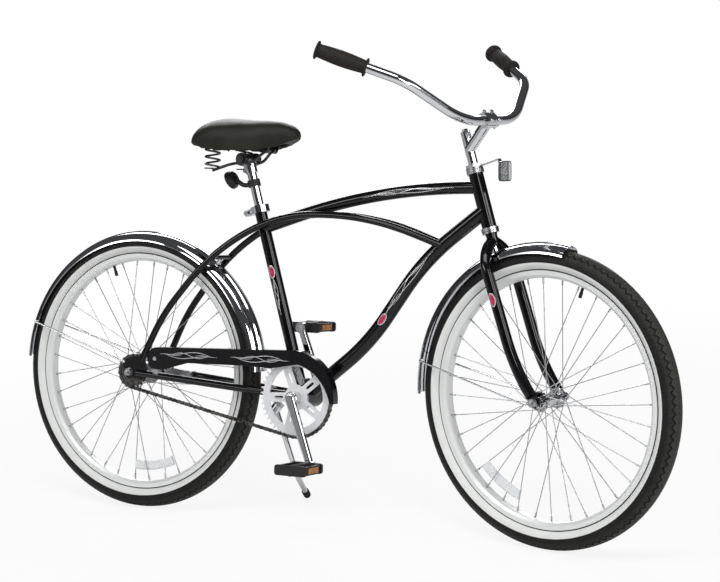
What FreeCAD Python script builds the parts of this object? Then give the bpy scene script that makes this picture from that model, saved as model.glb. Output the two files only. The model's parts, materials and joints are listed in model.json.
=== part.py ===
import FreeCAD, Part
import math
import os

Vec = FreeCAD.Vector

# A beach cruiser bicycle, parked on its kickstand with the front wheel turned a little.
# It is drawn upright in millimetres: +X forward, +Y to the rider's left, +Z up,
# with the rear tyre standing at the origin. The whole bicycle is leaned on its stand at the end.

# How the bicycle is parked
PARK_LEAN = 9.7
PARK_STEER = -10.37

# Wheels
WHEELBASE = 1084.3
TYRE_RADIUS = 333.0
TYRE_WIDTH = 54.0
TYRE_WALL = 4.0
TYRE_SHOULDER = 15.0
AXLE_HEIGHT = TYRE_RADIUS
RIM_EDGE_RADIUS = TYRE_RADIUS - 47.0
RIM_INNER_RADIUS = RIM_EDGE_RADIUS - 17.5
RIM_HALF_WIDTH = 17.4
RIM_WALL = 2.1
TUBE_GAP = 0.5
TUBE_WALL = 1.4
VALVE_RADIUS = 3.4
VALVE_CAP_RADIUS = 4.0
VALVE_CAP_LENGTH = 12.0
VALVE_REACH = 25.0
FRONT_VALVE_ANGLE = 53.1
REAR_VALVE_ANGLE = 110.4
SPOKES = 36
SPOKE_CROSSES = 3
SPOKE_RADIUS = 1.05
SPOKE_STAGGER = 4.0
SPOKE_INSIDE_GAP = 0.1
SPOKE_OUTSIDE_GAP = 1.9
NIPPLE_RADIUS = 2.0
NIPPLE_LENGTH = 15.0
NIPPLE_HOLE = 2.5
WHEEL_REFLECTOR_LENGTH = 112.0
WHEEL_REFLECTOR_HEIGHT = 22.0
WHEEL_REFLECTOR_THICKNESS = 8.0
WHEEL_REFLECTOR_RADIUS = RIM_INNER_RADIUS - 35.5
FRONT_REFLECTOR_ANGLE = -140.3
REAR_REFLECTOR_ANGLE = -80.6

# Axles and hubs
AXLE_RADIUS = 4.75
AXLE_STUB = 7.0
STUB_RADIUS = 4.5
STUB_CHAMFER = 0.6
STUB_LENGTH = AXLE_STUB - STUB_CHAMFER
NUT_ACROSS = 17.0
NUT_HEIGHT = 7.5
WASHER_RADIUS = 9.5
WASHER_THICKNESS = 1.5
CONE_RADIUS = 7.0
FLANGE_THICKNESS = 3.0
SPOKE_HOLE_MARGIN = 3.6
FRONT_HUB_BARREL = 12.5
FRONT_HUB_BORE = 9.0
FRONT_HUB_CUP = 12.0
FRONT_HUB_FLANGE = 22.6
FRONT_FLANGE_OFFSET = 33.0
REAR_HUB_BARREL = 21.5
REAR_HUB_BORE = 19.0
REAR_HUB_FLANGE = 33.0
REAR_FLANGE_OFFSET = 28.5
HUB_END = 5.0
HUB_BALLS = 9
HUB_BALL_RADIUS = 2.2

# Frame tubes
HEAD_ANGLE = 72.7
HEAD_LENGTH = 125.0
HEAD_RADIUS = 16.5
HEAD_BORE = 15.1
SEAT_ANGLE = 73.5
SEAT_SETBACK = 7.5
SEAT_TUBE_LENGTH = 462.0
SEAT_TUBE_RADIUS = 14.3
SEAT_SLEEVE_LENGTH = 110.0
TOP_TUBE_RADIUS = 14.3
DOWN_TUBE_RADIUS = 16.8
TWIN_TUBE_RADIUS = 7.95
CHAIN_STAY_RADIUS = 8.75
TUBE_WALL_STEEL = 2.0
TWIN_WALL = 1.4
TWIN_OFFSET = 22.4
TOP_TUBE_HEAD_HEIGHT = 93.1
TOP_TUBE_KNEE = (645.4, AXLE_HEIGHT + 457.0)
TOP_TUBE_STRAIGHT = 26.0
TOP_TUBE_SEAT_HEIGHT = 406.7
DOWN_TUBE_HEAD_HEIGHT = 39.8
DOWN_TUBE_KNEES = ((767.9, AXLE_HEIGHT + 297.1), (629.5, AXLE_HEIGHT + 100.4))
DOWN_TUBE_BENDS = (557.0, 536.0)
TWIN_FRONT = (815.5, 12.0, AXLE_HEIGHT + 329.8)
TWIN_ARCH = ((631.4, AXLE_HEIGHT + 392.3), (389.3, AXLE_HEIGHT + 392.3))
TWIN_STAY = ((215.8, 42.5, AXLE_HEIGHT + 292.2), (90.3, 52.5, AXLE_HEIGHT + 142.9))
TWIN_BENDS = (687.0, 385.0, 520.0, 456.0)
STAY_FOOT = (33.0, AXLE_HEIGHT + 29.0)
STAY_BRIDGE_RADIUS = 5.5
STAY_BRIDGE_PLACE = 0.55
CHAIN_STAY_KNEE = (318.0, 38.5)
CHAIN_STAY_ROOT = 20.0
CHAIN_STAY_BEND = 260.0
SHELL_RADIUS = 28.0
SHELL_BORE = 25.7
SHELL_HALF_WIDTH = 34.0
BOTTOM_BRACKET_DROP = 33.0
DROPOUT_INNER = 55.0
DROPOUT_THICKNESS = 5.0
DROPOUT_RADIUS = 15.0
EYELET_PLACE = (-15.4, 24.0)
EYELET_RADIUS = 6.0
EYELET_BOLT_RADIUS = 2.5

# Steering head and fork
FORK_RAKE = 38.9
FORK_LENGTH = TYRE_RADIUS + 69.4
STEERER_RADIUS = 12.7
STEERER_TOP = 146.0
STEERER_FOOT = 40.0
CROWN_RACE_DROP = 13.0
CUP_RADIUS = 20.0
CUP_HEIGHT = 8.0
CUP_INSERT = 10.0
HEAD_BALLS = 20
HEAD_BALL_RADIUS = 2.3
HEAD_BALL_PITCH = 16.0
LOCK_NUT_HEIGHT = 6.6
LOCK_NUT_ACROSS = 34.0
BLADE_RADIUS = 12.7
BLADE_OFFSET = 52.5
BLADE_ROOT = (6.0, -32.0)
BLADE_SHOULDER = -60.0
BLADE_SHOULDER_BEND = 75.0
BLADE_KNEE = (9.3, 83.0 - FORK_LENGTH)
BLADE_BEND = 427.0
BLADE_STOP = 16.0
FORK_END_RADIUS = 13.0
FORK_END_THICKNESS = 5.0

# Stem and handlebar
QUILL_RADIUS = 11.1
QUILL_TOP = 222.8
QUILL_FOOT = 82.0
SLIDE_CLEARANCE = 0.06
STEM_ROOT = 182.0
STEM_RADIUS = 12.5
CLAMP_FORWARD = 70.0
CLAMP_HEIGHT = 228.0
CLAMP_RADIUS = 17.5
CLAMP_HALF_WIDTH = 21.0
CLAMP_SPLIT = 1.6
CLAMP_BOLT_RADIUS = 2.6
CLAMP_BOLT_SPREAD = 14.0
EXPANDER_RADIUS = 4.0
WEDGE_LENGTH = 26.0
BAR_RADIUS = 11.1
BAR_WALL = 1.6
BAR_CENTRE = 98.0
BAR_KNEE = (-29.0, 130.0, 99.0)
BAR_SWEEP = (-136.0, 100.0, 116.0)
BAR_BENDS = (150.0, 120.0)
GRIP_LENGTH = 117.0
GRIP_RADIUS = 15.2
GRIP_SWELL = 17.8
GRIP_FLANGE = 21.0
GRIP_FLANGE_THICKNESS = 4.0

# Drive
CHAIN_PITCH = 12.7
CHAINRING_TEETH = 46
SPROCKET_TEETH = 19
CHAIN_LINKS = 106
CHAIN_LINE = 44.0
ROLLER_RADIUS = 3.88
ROLLER_WIDTH = 3.3
CHAIN_PLATE_THICKNESS = 1.0
CHAIN_PLATE_HEIGHT = 8.2
CHAIN_PIN_RADIUS = 1.8
TOOTH_THICKNESS = 2.9
TOOTH_HEIGHT = 3.2
TOOTH_TIP = 1.2
MESH_CLEARANCE = 0.32
RING_INNER_RADIUS = 72.0
SPIDER_RADIUS = 30.0
SPIDER_ARMS = 5
SPIDER_ARM_HALF_WIDTH = 11.0
SPIDER_SLOT = (38.0, 56.0, 3.2)
CRANK_LENGTH = 165.0
CRANK_ANGLE = -69.1
CRANK_AXLE_RADIUS = 12.0
CRANK_INNER = 66.0
CRANK_THICKNESS = 14.0
CRANK_ROOT_WIDTH = 24.0
CRANK_END_WIDTH = 17.0
CRANK_EDGE_RADIUS = 4.5
CRANK_EYE_RADIUS = 13.0
CRANK_CONE_RADIUS = 15.0
BRACKET_BALLS = 9
BRACKET_BALL_RADIUS = 2.9
PEDAL_LENGTH = 82.0
PEDAL_WIDTH = 80.0
PEDAL_HEIGHT = 24.0
PEDAL_GAP = 6.0
PEDAL_WALL = 7.0
PEDAL_BARREL_RADIUS = 13.0
PEDAL_THREAD_RADIUS = 7.0
PEDAL_SPINDLE_RADIUS = 5.0
DRIVER_RADIUS = 14.0
DRIVER_FIT = 0.08

# Coaster brake
BRAKE_CONE_RADIUS = 14.0
BRAKE_SHOE_RADIUS = 18.3
BRAKE_SHOE_LENGTH = 25.0
BRAKE_ARM_Y = 37.0
BRAKE_ARM_THICKNESS = 4.0
BRAKE_ARM_LENGTH = 108.0
BRAKE_STRAP_WIDTH = 13.0
BRAKE_STRAP_THICKNESS = 1.5

# Chain guard
GUARD_Y = 61.5
GUARD_SHEET = 1.5
GUARD_FLANGE = 20.0
GUARD_FRONT_RADIUS = 110.0
GUARD_FRONT_INNER = 99.0
GUARD_FRONT_END = -4.0
GUARD_TAIL = (54.0, AXLE_HEIGHT + 35.0)
GUARD_TAIL_TOP = (80.0, AXLE_HEIGHT + 64.0)
GUARD_TAIL_FOOT = (78.0, AXLE_HEIGHT + 10.5)
GUARD_WAIST = (
    (102.0, AXLE_HEIGHT + 12.0), (170.0, AXLE_HEIGHT + 31.0),
    (349.0, AXLE_HEIGHT + 34.4), (400.0, AXLE_HEIGHT + 31.6),
)
GUARD_LIP = (474.8, AXLE_HEIGHT + 45.4)
GUARD_LIP_VIA = (530.0, AXLE_HEIGHT + 16.0)
GUARD_SCREW = (76.5, AXLE_HEIGHT + 36.6)
GUARD_SCREW_RADIUS = 2.5
GUARD_TAB = (470.4, AXLE_HEIGHT + 4.4)
GUARD_TAB_Y = 37.5

# Fenders
FENDER_CREST = TYRE_RADIUS + 14.0
REAR_FENDER_CENTRE = (2.0, -6.0)
FRONT_FENDER_CENTRE = (-6.0, 2.0)
FENDER_HALF_WIDTH = 32.0
FENDER_DEPTH = 24.0
FENDER_SHEET = 1.2
FENDER_RIDGE_HALF_WIDTH = 6.5
FENDER_RIDGE_HEIGHT = 2.8
REAR_FENDER_ANGLES = (4.0, 175.6)
FRONT_FENDER_ANGLES = (61.7, 164.5)
FENDER_STAY_RADIUS = 2.4
REAR_STAY_ANGLE = 160.0
FRONT_STAY_ANGLE = 151.0
FRONT_STAY_CRANK = 26.0
FRONT_STAY_CRANK_ANGLE = 178.0
FRONT_STAY_BEND = 14.0
STAY_BOLT_RADIUS = 4.0

# Kickstand
STAND_PIVOT = (372.0, 14.0, AXLE_HEIGHT - 69.0)
STAND_KNEE = (409.0, 58.0, AXLE_HEIGHT - 233.0)
STAND_FOOT = (366.0, 178.0)
STAND_BEND = 55.0
STAND_LEG_RADIUS = 6.5
STAND_FOOT_RADIUS = 9.0
STAND_FOOT_LENGTH = 26.0
STAND_AXIS = (0.54, 0.257, 0.801)
STAND_SWING = 103.0
STAND_PIN_RADIUS = 6.0
STAND_HUB_RADIUS = 12.0
STAND_CAP_RADIUS = 8.0
STAND_HUB_LENGTH = 18.0
STAND_FIT = 0.06
STAND_BLOCK = (34.0, 30.0, 22.0)

# Seat post and saddle
POST_RADIUS = 11.1
POST_WALL = 2.0
POST_FOOT = 330.0
POST_TOP = 566.0
SEAT_COLLAR_HEIGHT = 17.0
SEAT_COLLAR_RADIUS = 22.5
SEAT_EAR_REACH = 16.0
SADDLE_CLAMP_HEIGHT = 575.0
SADDLE_CLAMP_RADIUS = 13.5
SADDLE_COLLAR_LENGTH = 34.0
SADDLE_CLAMP_HALF_WIDTH = 20.0
SADDLE_WIRE_RADIUS = 3.5
SADDLE_WIRE_OFFSET = 26.0
SADDLE_WIRE_RISE = -9.0
SADDLE_PIVOT = (350.0, AXLE_HEIGHT + 540.0)
SADDLE_PIN_RADIUS = 3.0
SADDLE_EAR_OFFSET = 21.0
SADDLE_EAR_THICKNESS = 3.0
SADDLE_EYE_OFFSET = 13.0
SADDLE_EYE_HALF_WIDTH = 4.0
SADDLE_BOLT_RADIUS = 4.0
SPRING_PLACE = (236.0, 70.0)
SPRING_RADIUS = 17.0
SPRING_WIRE_RADIUS = 2.5
SPRING_TURNS = 4
SPRING_FOOT_HEIGHT = AXLE_HEIGHT + 499.0
SPRING_CUP_THICKNESS = 3.0
PAN_THICKNESS = 3.0
SKIRT_THICKNESS = 13.0
FOAM_THICKNESS = 42.0
SOFT_GAP = 0.3
# Saddle stations from tail to nose: distance along X, half width, crown and skirt above the axle
SADDLE_SHAPE = (
    (174.0, 52.0, 590.0, 560.0),
    (183.0, 82.0, 604.0, 552.0),
    (203.0, 99.0, 612.0, 545.0),
    (235.0, 106.0, 615.0, 537.5),
    (275.0, 102.0, 612.0, 533.0),
    (312.0, 76.0, 609.0, 534.0),
    (352.0, 48.0, 608.5, 541.0),
    (392.0, 33.0, 604.5, 551.0),
    (418.0, 24.0, 594.0, 562.0),
    (431.0, 10.0, 580.0, 569.0),
)
SADDLE_STATIONS = [
    (x, half, AXLE_HEIGHT + crown, AXLE_HEIGHT + skirt) for x, half, crown, skirt in SADDLE_SHAPE
]
PAN_STATIONS = slice(2, 8)

# Reflectors
FRONT_LENS = (9.0, 40.0, 46.0)
FRONT_LENS_PLACE = (77.7, 108.0)
BRACKET_SHEET = 2.0
BRACKET_WIDTH = 12.0
REAR_LENS_RADIUS = 20.0
REAR_LENS_THICKNESS = 5.0
REAR_LENS_PLACE = (243.0, AXLE_HEIGHT + 468.0)
REAR_LENS_TILT = 28.0
REAR_MOUNT_HEIGHT = 516.0
REAR_MOUNT_RADIUS = 15.0
REAR_ARM_RADIUS = 5.5
REAR_ARM_DIP = 12.0
REAR_CUP_DEPTH = 13.0

# Values worked out from the dimensions above
TINY = 1e-6
RING_PITCH_RADIUS = CHAIN_PITCH / 2 / math.sin(math.pi / CHAINRING_TEETH)
SPROCKET_PITCH_RADIUS = CHAIN_PITCH / 2 / math.sin(math.pi / SPROCKET_TEETH)
HEAD_TILT = FreeCAD.Rotation(Vec(0, 1, 0), HEAD_ANGLE - 90)
FRONT_AXLE = Vec(FORK_RAKE, 0, -FORK_LENGTH)
HEAD_FOOT = Vec(WHEELBASE, 0, AXLE_HEIGHT) - HEAD_TILT.multVec(FRONT_AXLE)
HEAD = FreeCAD.Placement(HEAD_FOOT, HEAD_TILT)
REAR_AXLE = Vec(0, 0, AXLE_HEIGHT)
DROPOUT_MIDDLE = DROPOUT_INNER + DROPOUT_THICKNESS / 2


def chain_lean(centres):
    """Angle between a straight run of chain and the line of centres."""
    return math.asin((RING_PITCH_RADIUS - SPROCKET_PITCH_RADIUS) / centres)


def chain_pitches(centres):
    """Number of chain pitches that a centre distance takes up."""
    lean = chain_lean(centres)
    runs = 2 * centres * math.cos(lean) / CHAIN_PITCH
    ring = CHAINRING_TEETH * (math.pi + 2 * lean) / (2 * math.pi)
    sprocket = SPROCKET_TEETH * (math.pi - 2 * lean) / (2 * math.pi)
    return runs + ring + sprocket


def chain_centres():
    """Centre distance at which the chain has exactly its links, by bisection."""
    low = RING_PITCH_RADIUS + SPROCKET_PITCH_RADIUS
    high = CHAIN_LINKS * CHAIN_PITCH / 2
    for _ in range(60):
        middle = (low + high) / 2
        if chain_pitches(middle) < CHAIN_LINKS:
            low = middle
        else:
            high = middle
    return middle


CENTRES = chain_centres()
BRACKET = Vec(math.sqrt(CENTRES**2 - BOTTOM_BRACKET_DROP**2), 0, AXLE_HEIGHT - BOTTOM_BRACKET_DROP)
SEAT_UP = Vec(-math.cos(math.radians(SEAT_ANGLE)), 0, math.sin(math.radians(SEAT_ANGLE)))
SEAT_FOOT = BRACKET - Vec(SEAT_SETBACK, 0, 0)
SEAT = FreeCAD.Placement(SEAT_FOOT, FreeCAD.Rotation(Vec(0, 1, 0), SEAT_ANGLE - 90))


# Drawing helpers

def flat_xy(a, b):
    return Vec(a, b, 0)


def flat_xz(a, b):
    return Vec(a, 0, b)


def outline(lift, start, *steps):
    """Closed wire. A step is an end point for a line, or a (via, end) pair for an arc."""
    edges = []
    here = lift(*start)
    for step in steps:
        if isinstance(step[0], tuple):
            end = lift(*step[1])
            edges.append(Part.Arc(here, lift(*step[0]), end).toShape())
        else:
            end = lift(*step)
            edges.append(Part.LineSegment(here, end).toShape())
        here = end
    first = lift(*start)
    if here.distanceToPoint(first) > TINY:
        edges.append(Part.LineSegment(here, first).toShape())
    return Part.Wire(edges)


def turned(start, *steps):
    """Solid of revolution about Y from a (radius, y) profile."""
    face = Part.Face(outline(flat_xy, start, *steps))
    return face.revolve(Vec(0, 0, 0), Vec(0, 1, 0), 360)


def ring(outer, inner, low, high):
    """Hollow cylinder about the Y axis, between two y values."""
    return turned((inner, low), (outer, low), (outer, high), (inner, high))


def disc(radius, low, high, centre=Vec(0, 0, 0)):
    """Cylinder along Y at a centre, between two y values."""
    return Part.makeCylinder(radius, high - low, centre + Vec(0, low, 0), Vec(0, 1, 0))


def upright_ring(outer, inner, low, high):
    """Hollow cylinder about the Z axis, between two z values."""
    return turned_up((inner, low), (outer, low), (outer, high), (inner, high))


def turned_up(start, *steps):
    """Solid of revolution about Z from a (radius, z) profile."""
    face = Part.Face(outline(flat_xz, start, *steps))
    return face.revolve(Vec(0, 0, 0), Vec(0, 0, 1), 360)


def rod(radius, start, end):
    """Round bar between two points."""
    along = end - start
    return Part.makeCylinder(radius, along.Length, start, along)


def box(low, high):
    """Block between two corners."""
    size = high - low
    return Part.makeBox(size.x, size.y, size.z, low)


def hexagon(across, low, high, bore, centre=Vec(0, 0, 0)):
    """Six-sided nut along Y, with a round bore."""
    reach = across / math.sqrt(3)
    points = [(reach * math.cos(k * math.pi / 3), reach * math.sin(k * math.pi / 3)) for k in range(6)]
    face = Part.Face(outline(flat_xz, *points))
    nut = face.extrude(Vec(0, high - low, 0)).translated(Vec(0, low, 0))
    return nut.cut(disc(bore, low - 1, high + 1)).translated(centre)


def corner_points(before, corner, after, radius):
    """Start, middle and end of the arc that rounds a corner."""
    back = (before - corner).normalize()
    ahead = (after - corner).normalize()
    half = back.getAngle(ahead) / 2
    inward = (back + ahead).normalize()
    setback = radius / math.tan(half)
    middle = corner + inward * (radius / math.sin(half) - radius)
    return corner + back * setback, middle, corner + ahead * setback


def tube_path(points, bends):
    """Wire of straight runs joined by tangent arcs."""
    edges = []
    here = points[0]
    for before, corner, after, radius in zip(points, points[1:], points[2:], bends):
        start, middle, end = corner_points(before, corner, after, radius)
        edges.append(Part.LineSegment(here, start).toShape())
        edges.append(Part.Arc(start, middle, end).toShape())
        here = end
    edges.append(Part.LineSegment(here, points[-1]).toShape())
    return Part.Wire(edges)


def pipe(points, bends, radius):
    """Solid bar along a bent path."""
    circle = Part.Circle(points[0], points[1] - points[0], radius).toShape()
    return tube_path(points, bends).makePipeShell([Part.Wire(circle)], True, False)


def tube(points, bends, radius, wall):
    """Hollow bent tube, whose bore runs a little past both ends."""
    first = points[0] + (points[0] - points[1]).normalize()
    last = points[-1] + (points[-1] - points[-2]).normalize()
    bore = pipe([first] + list(points[1:-1]) + [last], bends, radius - wall)
    return pipe(points, bends, radius).cut(bore)


def hull_plate(discs, low, high):
    """Plate across Y round a loop of (x, z, radius) discs, listed counter-clockwise seen from -Y."""
    count = len(discs)
    angles = []
    for k in range(count):
        x0, z0, r0 = discs[k]
        x1, z1, r1 = discs[(k + 1) % count]
        reach = math.hypot(x1 - x0, z1 - z0)
        angles.append(math.atan2(z1 - z0, x1 - x0) - math.acos((r0 - r1) / reach))
    edges = []
    for k in range(count):
        x0, z0, r0 = discs[k]
        x1, z1, r1 = discs[(k + 1) % count]
        turn_in = angles[k - 1]
        turn_out = angles[k]
        while turn_out < turn_in:
            turn_out += 2 * math.pi
        middle = (turn_in + turn_out) / 2
        rim = [Vec(x0 + r0 * math.cos(a), low, z0 + r0 * math.sin(a)) for a in (turn_in, middle, turn_out)]
        edges.append(Part.Arc(*rim).toShape())
        end = Vec(x1 + r1 * math.cos(turn_out), low, z1 + r1 * math.sin(turn_out))
        edges.append(Part.LineSegment(rim[2], end).toShape())
    return Part.Face(Part.Wire(edges)).extrude(Vec(0, high - low, 0))


def mirrored(shape):
    """Copy on the other side of the bicycle."""
    return shape.mirror(Vec(0, 0, 0), Vec(0, 1, 0))


def placed(shape, placement):
    """Copy moved by a placement."""
    copy = shape.copy()
    copy.Placement = placement.multiply(copy.Placement)
    return copy


def group(*shapes):
    """Separate solids kept in one node."""
    return Part.makeCompound([solid for shape in shapes for solid in shape.Solids])


def spun(shape, count, axis=Vec(0, 1, 0)):
    """Copies spread evenly about an axis through the origin."""
    return [shape.rotated(Vec(0, 0, 0), axis, k * 360.0 / count) for k in range(count)]


def polar(radius, degrees, y=0.0):
    """Point at an angle in the plane of a wheel, counted from forward towards up."""
    angle = math.radians(degrees)
    return Vec(radius * math.cos(angle), y, radius * math.sin(angle))


# Frame

def head_core():
    """Solid outline of the head tube, which the tubes that meet it are mitred with."""
    return placed(Part.makeCylinder(HEAD_RADIUS, HEAD_LENGTH), HEAD)


def seat_core():
    return placed(Part.makeCylinder(SEAT_TUBE_RADIUS, SEAT_TUBE_LENGTH), SEAT)


def shell_core():
    return disc(SHELL_RADIUS, -SHELL_HALF_WIDTH, SHELL_HALF_WIDTH, BRACKET)


def head_axis(height):
    """Point on the steering axis, counted up from the foot of the head tube."""
    return HEAD.multVec(Vec(0, 0, height))


def top_tube_points():
    knee = flat_xz(*TOP_TUBE_KNEE)
    return [head_axis(TOP_TUBE_HEAD_HEIGHT), knee, SEAT.multVec(Vec(0, 0, TOP_TUBE_SEAT_HEIGHT))]


def down_tube_points():
    knees = [flat_xz(*knee) for knee in DOWN_TUBE_KNEES]
    return [head_axis(DOWN_TUBE_HEAD_HEIGHT)] + knees + [BRACKET]


def twin_points():
    """Left twin tube, from the down tube back to the rear end."""
    arch = [Vec(x, TWIN_OFFSET, z) for x, z in TWIN_ARCH]
    stay = [Vec(*knee) for knee in TWIN_STAY]
    foot = Vec(STAY_FOOT[0], DROPOUT_MIDDLE, STAY_FOOT[1])
    return [Vec(*TWIN_FRONT)] + arch + stay + [foot]


def chain_stay_points():
    """Left chain stay, from the bracket shell to the rear end."""
    x, y = CHAIN_STAY_KNEE
    share = x / BRACKET.x
    knee = Vec(x, y, AXLE_HEIGHT - share * BOTTOM_BRACKET_DROP)
    foot = Vec(DROPOUT_RADIUS + 6.0, DROPOUT_MIDDLE, AXLE_HEIGHT - 1.0)
    return [BRACKET + Vec(0, CHAIN_STAY_ROOT, 0), knee, foot]


def head_tube():
    return placed(upright_ring(HEAD_RADIUS, HEAD_BORE, 0, HEAD_LENGTH), HEAD)


def seat_tube():
    """Plain tube with a thicker sleeve at the top that guides the post."""
    bore = SEAT_TUBE_RADIUS - TUBE_WALL_STEEL
    fit = POST_RADIUS + SLIDE_CLEARANCE
    sleeve = SEAT_TUBE_LENGTH - SEAT_SLEEVE_LENGTH
    shape = turned_up(
        (bore, 0), (SEAT_TUBE_RADIUS, 0), (SEAT_TUBE_RADIUS, SEAT_TUBE_LENGTH),
        (fit, SEAT_TUBE_LENGTH), (fit, sleeve), (bore, sleeve - 2),
    )
    return placed(shape, SEAT).cut(shell_core())


def top_tube_bend():
    """Bend radius that leaves a short straight run at the head."""
    head, knee, seat = top_tube_points()
    half = (head - knee).getAngle(seat - knee) / 2
    return ((head - knee).Length - TOP_TUBE_STRAIGHT) * math.tan(half)


def top_tube():
    shape = tube(top_tube_points(), [top_tube_bend()], TOP_TUBE_RADIUS, TUBE_WALL_STEEL)
    return shape.cut(head_core()).cut(seat_core())


def down_core():
    return pipe(down_tube_points(), DOWN_TUBE_BENDS, DOWN_TUBE_RADIUS)


def down_tube():
    shape = tube(down_tube_points(), DOWN_TUBE_BENDS, DOWN_TUBE_RADIUS, TUBE_WALL_STEEL)
    return shape.cut(head_core()).cut(shell_core()).cut(seat_core())


def stay_bridge():
    """Rod across the stays above the rear tyre."""
    start, end = Vec(*TWIN_STAY[0]), Vec(TWIN_ARCH[1][0], TWIN_OFFSET, TWIN_ARCH[1][1])
    middle = bridge_middle()
    half = start.y + STAY_BRIDGE_PLACE * (end.y - start.y)
    return disc(STAY_BRIDGE_RADIUS, -half, half, middle)


def bridge_middle():
    """Place of the stay bridge, a little up the stay from its upper bend."""
    return Vec(TWIN_STAY[0][0] + 5.0, 0, TWIN_STAY[0][2] - 8.0)


def twin_tubes():
    core = pipe(twin_points(), TWIN_BENDS, TWIN_TUBE_RADIUS)
    left = tube(twin_points(), TWIN_BENDS, TWIN_TUBE_RADIUS, TWIN_WALL)
    left = left.cut(down_core()).cut(dropout_left())
    bridge = stay_bridge().cut(core).cut(mirrored(core))
    return group(left, mirrored(left), largest(bridge))


def largest(shape):
    """The biggest solid of a cut, without stray ends."""
    return max(shape.Solids, key=lambda solid: solid.Volume)


def chain_stays():
    points = chain_stay_points()
    core = pipe(points, [CHAIN_STAY_BEND], CHAIN_STAY_RADIUS)
    left = tube(points, [CHAIN_STAY_BEND], CHAIN_STAY_RADIUS, TUBE_WALL_STEEL)
    left = largest(left.cut(shell_core()).cut(dropout_left()))
    plate = box(stand_plate_low(), stand_plate_high())
    plate = plate.cut(core).cut(mirrored(core)).cut(stand_bolt_hole())
    return group(left, mirrored(left), largest(plate))


def stand_plate_low():
    """Lower rear corner of the plate between the chain stays."""
    return Vec(STAND_PIVOT[0] - 18.0, -CHAIN_STAY_KNEE[1], BRACKET.z + 4.0)


def stand_plate_high():
    return Vec(STAND_PIVOT[0] + 26.0, CHAIN_STAY_KNEE[1], BRACKET.z + 9.0)


def stand_bolt_hole():
    low = stand_plate_low()
    return Part.makeCylinder(STAND_PIN_RADIUS - 0.5, 40.0, Vec(STAND_PIVOT[0], 0, low.z - 15.0))


def bottom_bracket_shell():
    shell = ring(SHELL_RADIUS, SHELL_BORE, -SHELL_HALF_WIDTH, SHELL_HALF_WIDTH)
    return shell.translated(BRACKET)


def dropout_left():
    """Left rear end: a plate that joins both stays, with an axle slot and an eyelet."""
    stay_x, stay_z = STAY_FOOT
    discs = [
        (0.0, AXLE_HEIGHT, DROPOUT_RADIUS),
        (DROPOUT_RADIUS + 25.0, AXLE_HEIGHT - 2.5, CHAIN_STAY_RADIUS),
        (stay_x + 3.0, stay_z + 4.0, TWIN_TUBE_RADIUS),
        (EYELET_PLACE[0], AXLE_HEIGHT + EYELET_PLACE[1], EYELET_RADIUS),
    ]
    low, high = DROPOUT_INNER, DROPOUT_INNER + DROPOUT_THICKNESS
    slot_radius = AXLE_RADIUS + SLIDE_CLEARANCE
    slot = hull_plate(
        [(-9.0, AXLE_HEIGHT, slot_radius), (8.0, AXLE_HEIGHT, slot_radius)], low - 1, high + 1
    )
    eyelet = Vec(EYELET_PLACE[0], 0, AXLE_HEIGHT + EYELET_PLACE[1])
    hole = disc(EYELET_BOLT_RADIUS, low - 1, high + 1, eyelet)
    return hull_plate(discs, low, high).cut(slot).cut(hole)


def rear_dropouts():
    return group(dropout_left(), mirrored(dropout_left()))


# Steering head, fork, stem and bar, drawn in the fork's own frame:
# Z along the steering axis from the foot of the head tube, X forward

def ball_ring(count, radius, pitch, height):
    """Balls about Z at one height."""
    ball = Part.makeSphere(radius, Vec(pitch, 0, height))
    return group(*spun(ball, count, Vec(0, 0, 1)))


def headset_bearings():
    """Cups pressed into the head tube, each with its ring of balls."""
    skirt = HEAD_BORE - SLIDE_CLEARANCE
    inner = STEERER_RADIUS + 0.5
    race = HEAD_BALL_PITCH + HEAD_BALL_RADIUS + 0.4
    pocket = CUP_HEIGHT - 4.6
    cup = turned_up(
        (inner, CUP_INSERT), (skirt, CUP_INSERT), (skirt, 0), (CUP_RADIUS, 0), (CUP_RADIUS, -CUP_HEIGHT),
        (race, -CUP_HEIGHT), (race, -pocket), (inner, -pocket),
    )
    balls = ball_ring(HEAD_BALLS, HEAD_BALL_RADIUS, HEAD_BALL_PITCH, -pocket - HEAD_BALL_RADIUS - 0.4)
    lower = group(cup, balls)
    upper = lower.mirror(Vec(0, 0, HEAD_LENGTH / 2), Vec(0, 0, 1))
    return placed(group(lower, upper), HEAD)


def fork_steerer():
    """Steerer tube with the race seat at its foot."""
    bore = QUILL_RADIUS + SLIDE_CLEARANCE
    seat = STEERER_RADIUS + 0.8
    return turned_up(
        (bore, -STEERER_FOOT), (STEERER_RADIUS, -STEERER_FOOT), (STEERER_RADIUS, -CROWN_RACE_DROP - 4),
        (seat, -CROWN_RACE_DROP - 4), (seat, -CROWN_RACE_DROP), (STEERER_RADIUS, -CROWN_RACE_DROP),
        (STEERER_RADIUS, STEERER_TOP), (bore, STEERER_TOP),
    )


def blade_end_direction():
    """Direction of the blade where it reaches the axle."""
    knee = Vec(BLADE_KNEE[0], 0, BLADE_KNEE[1])
    return (FRONT_AXLE - knee).normalize()


def blade_points():
    """Left fork blade, from the crown to just short of the axle."""
    root_y, root_z = BLADE_ROOT
    stop = FRONT_AXLE - blade_end_direction() * BLADE_STOP
    return [
        Vec(0, root_y, root_z), Vec(0.5, BLADE_OFFSET, BLADE_SHOULDER),
        Vec(BLADE_KNEE[0], BLADE_OFFSET, BLADE_KNEE[1]), stop + Vec(0, BLADE_OFFSET, 0),
    ]


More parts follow.
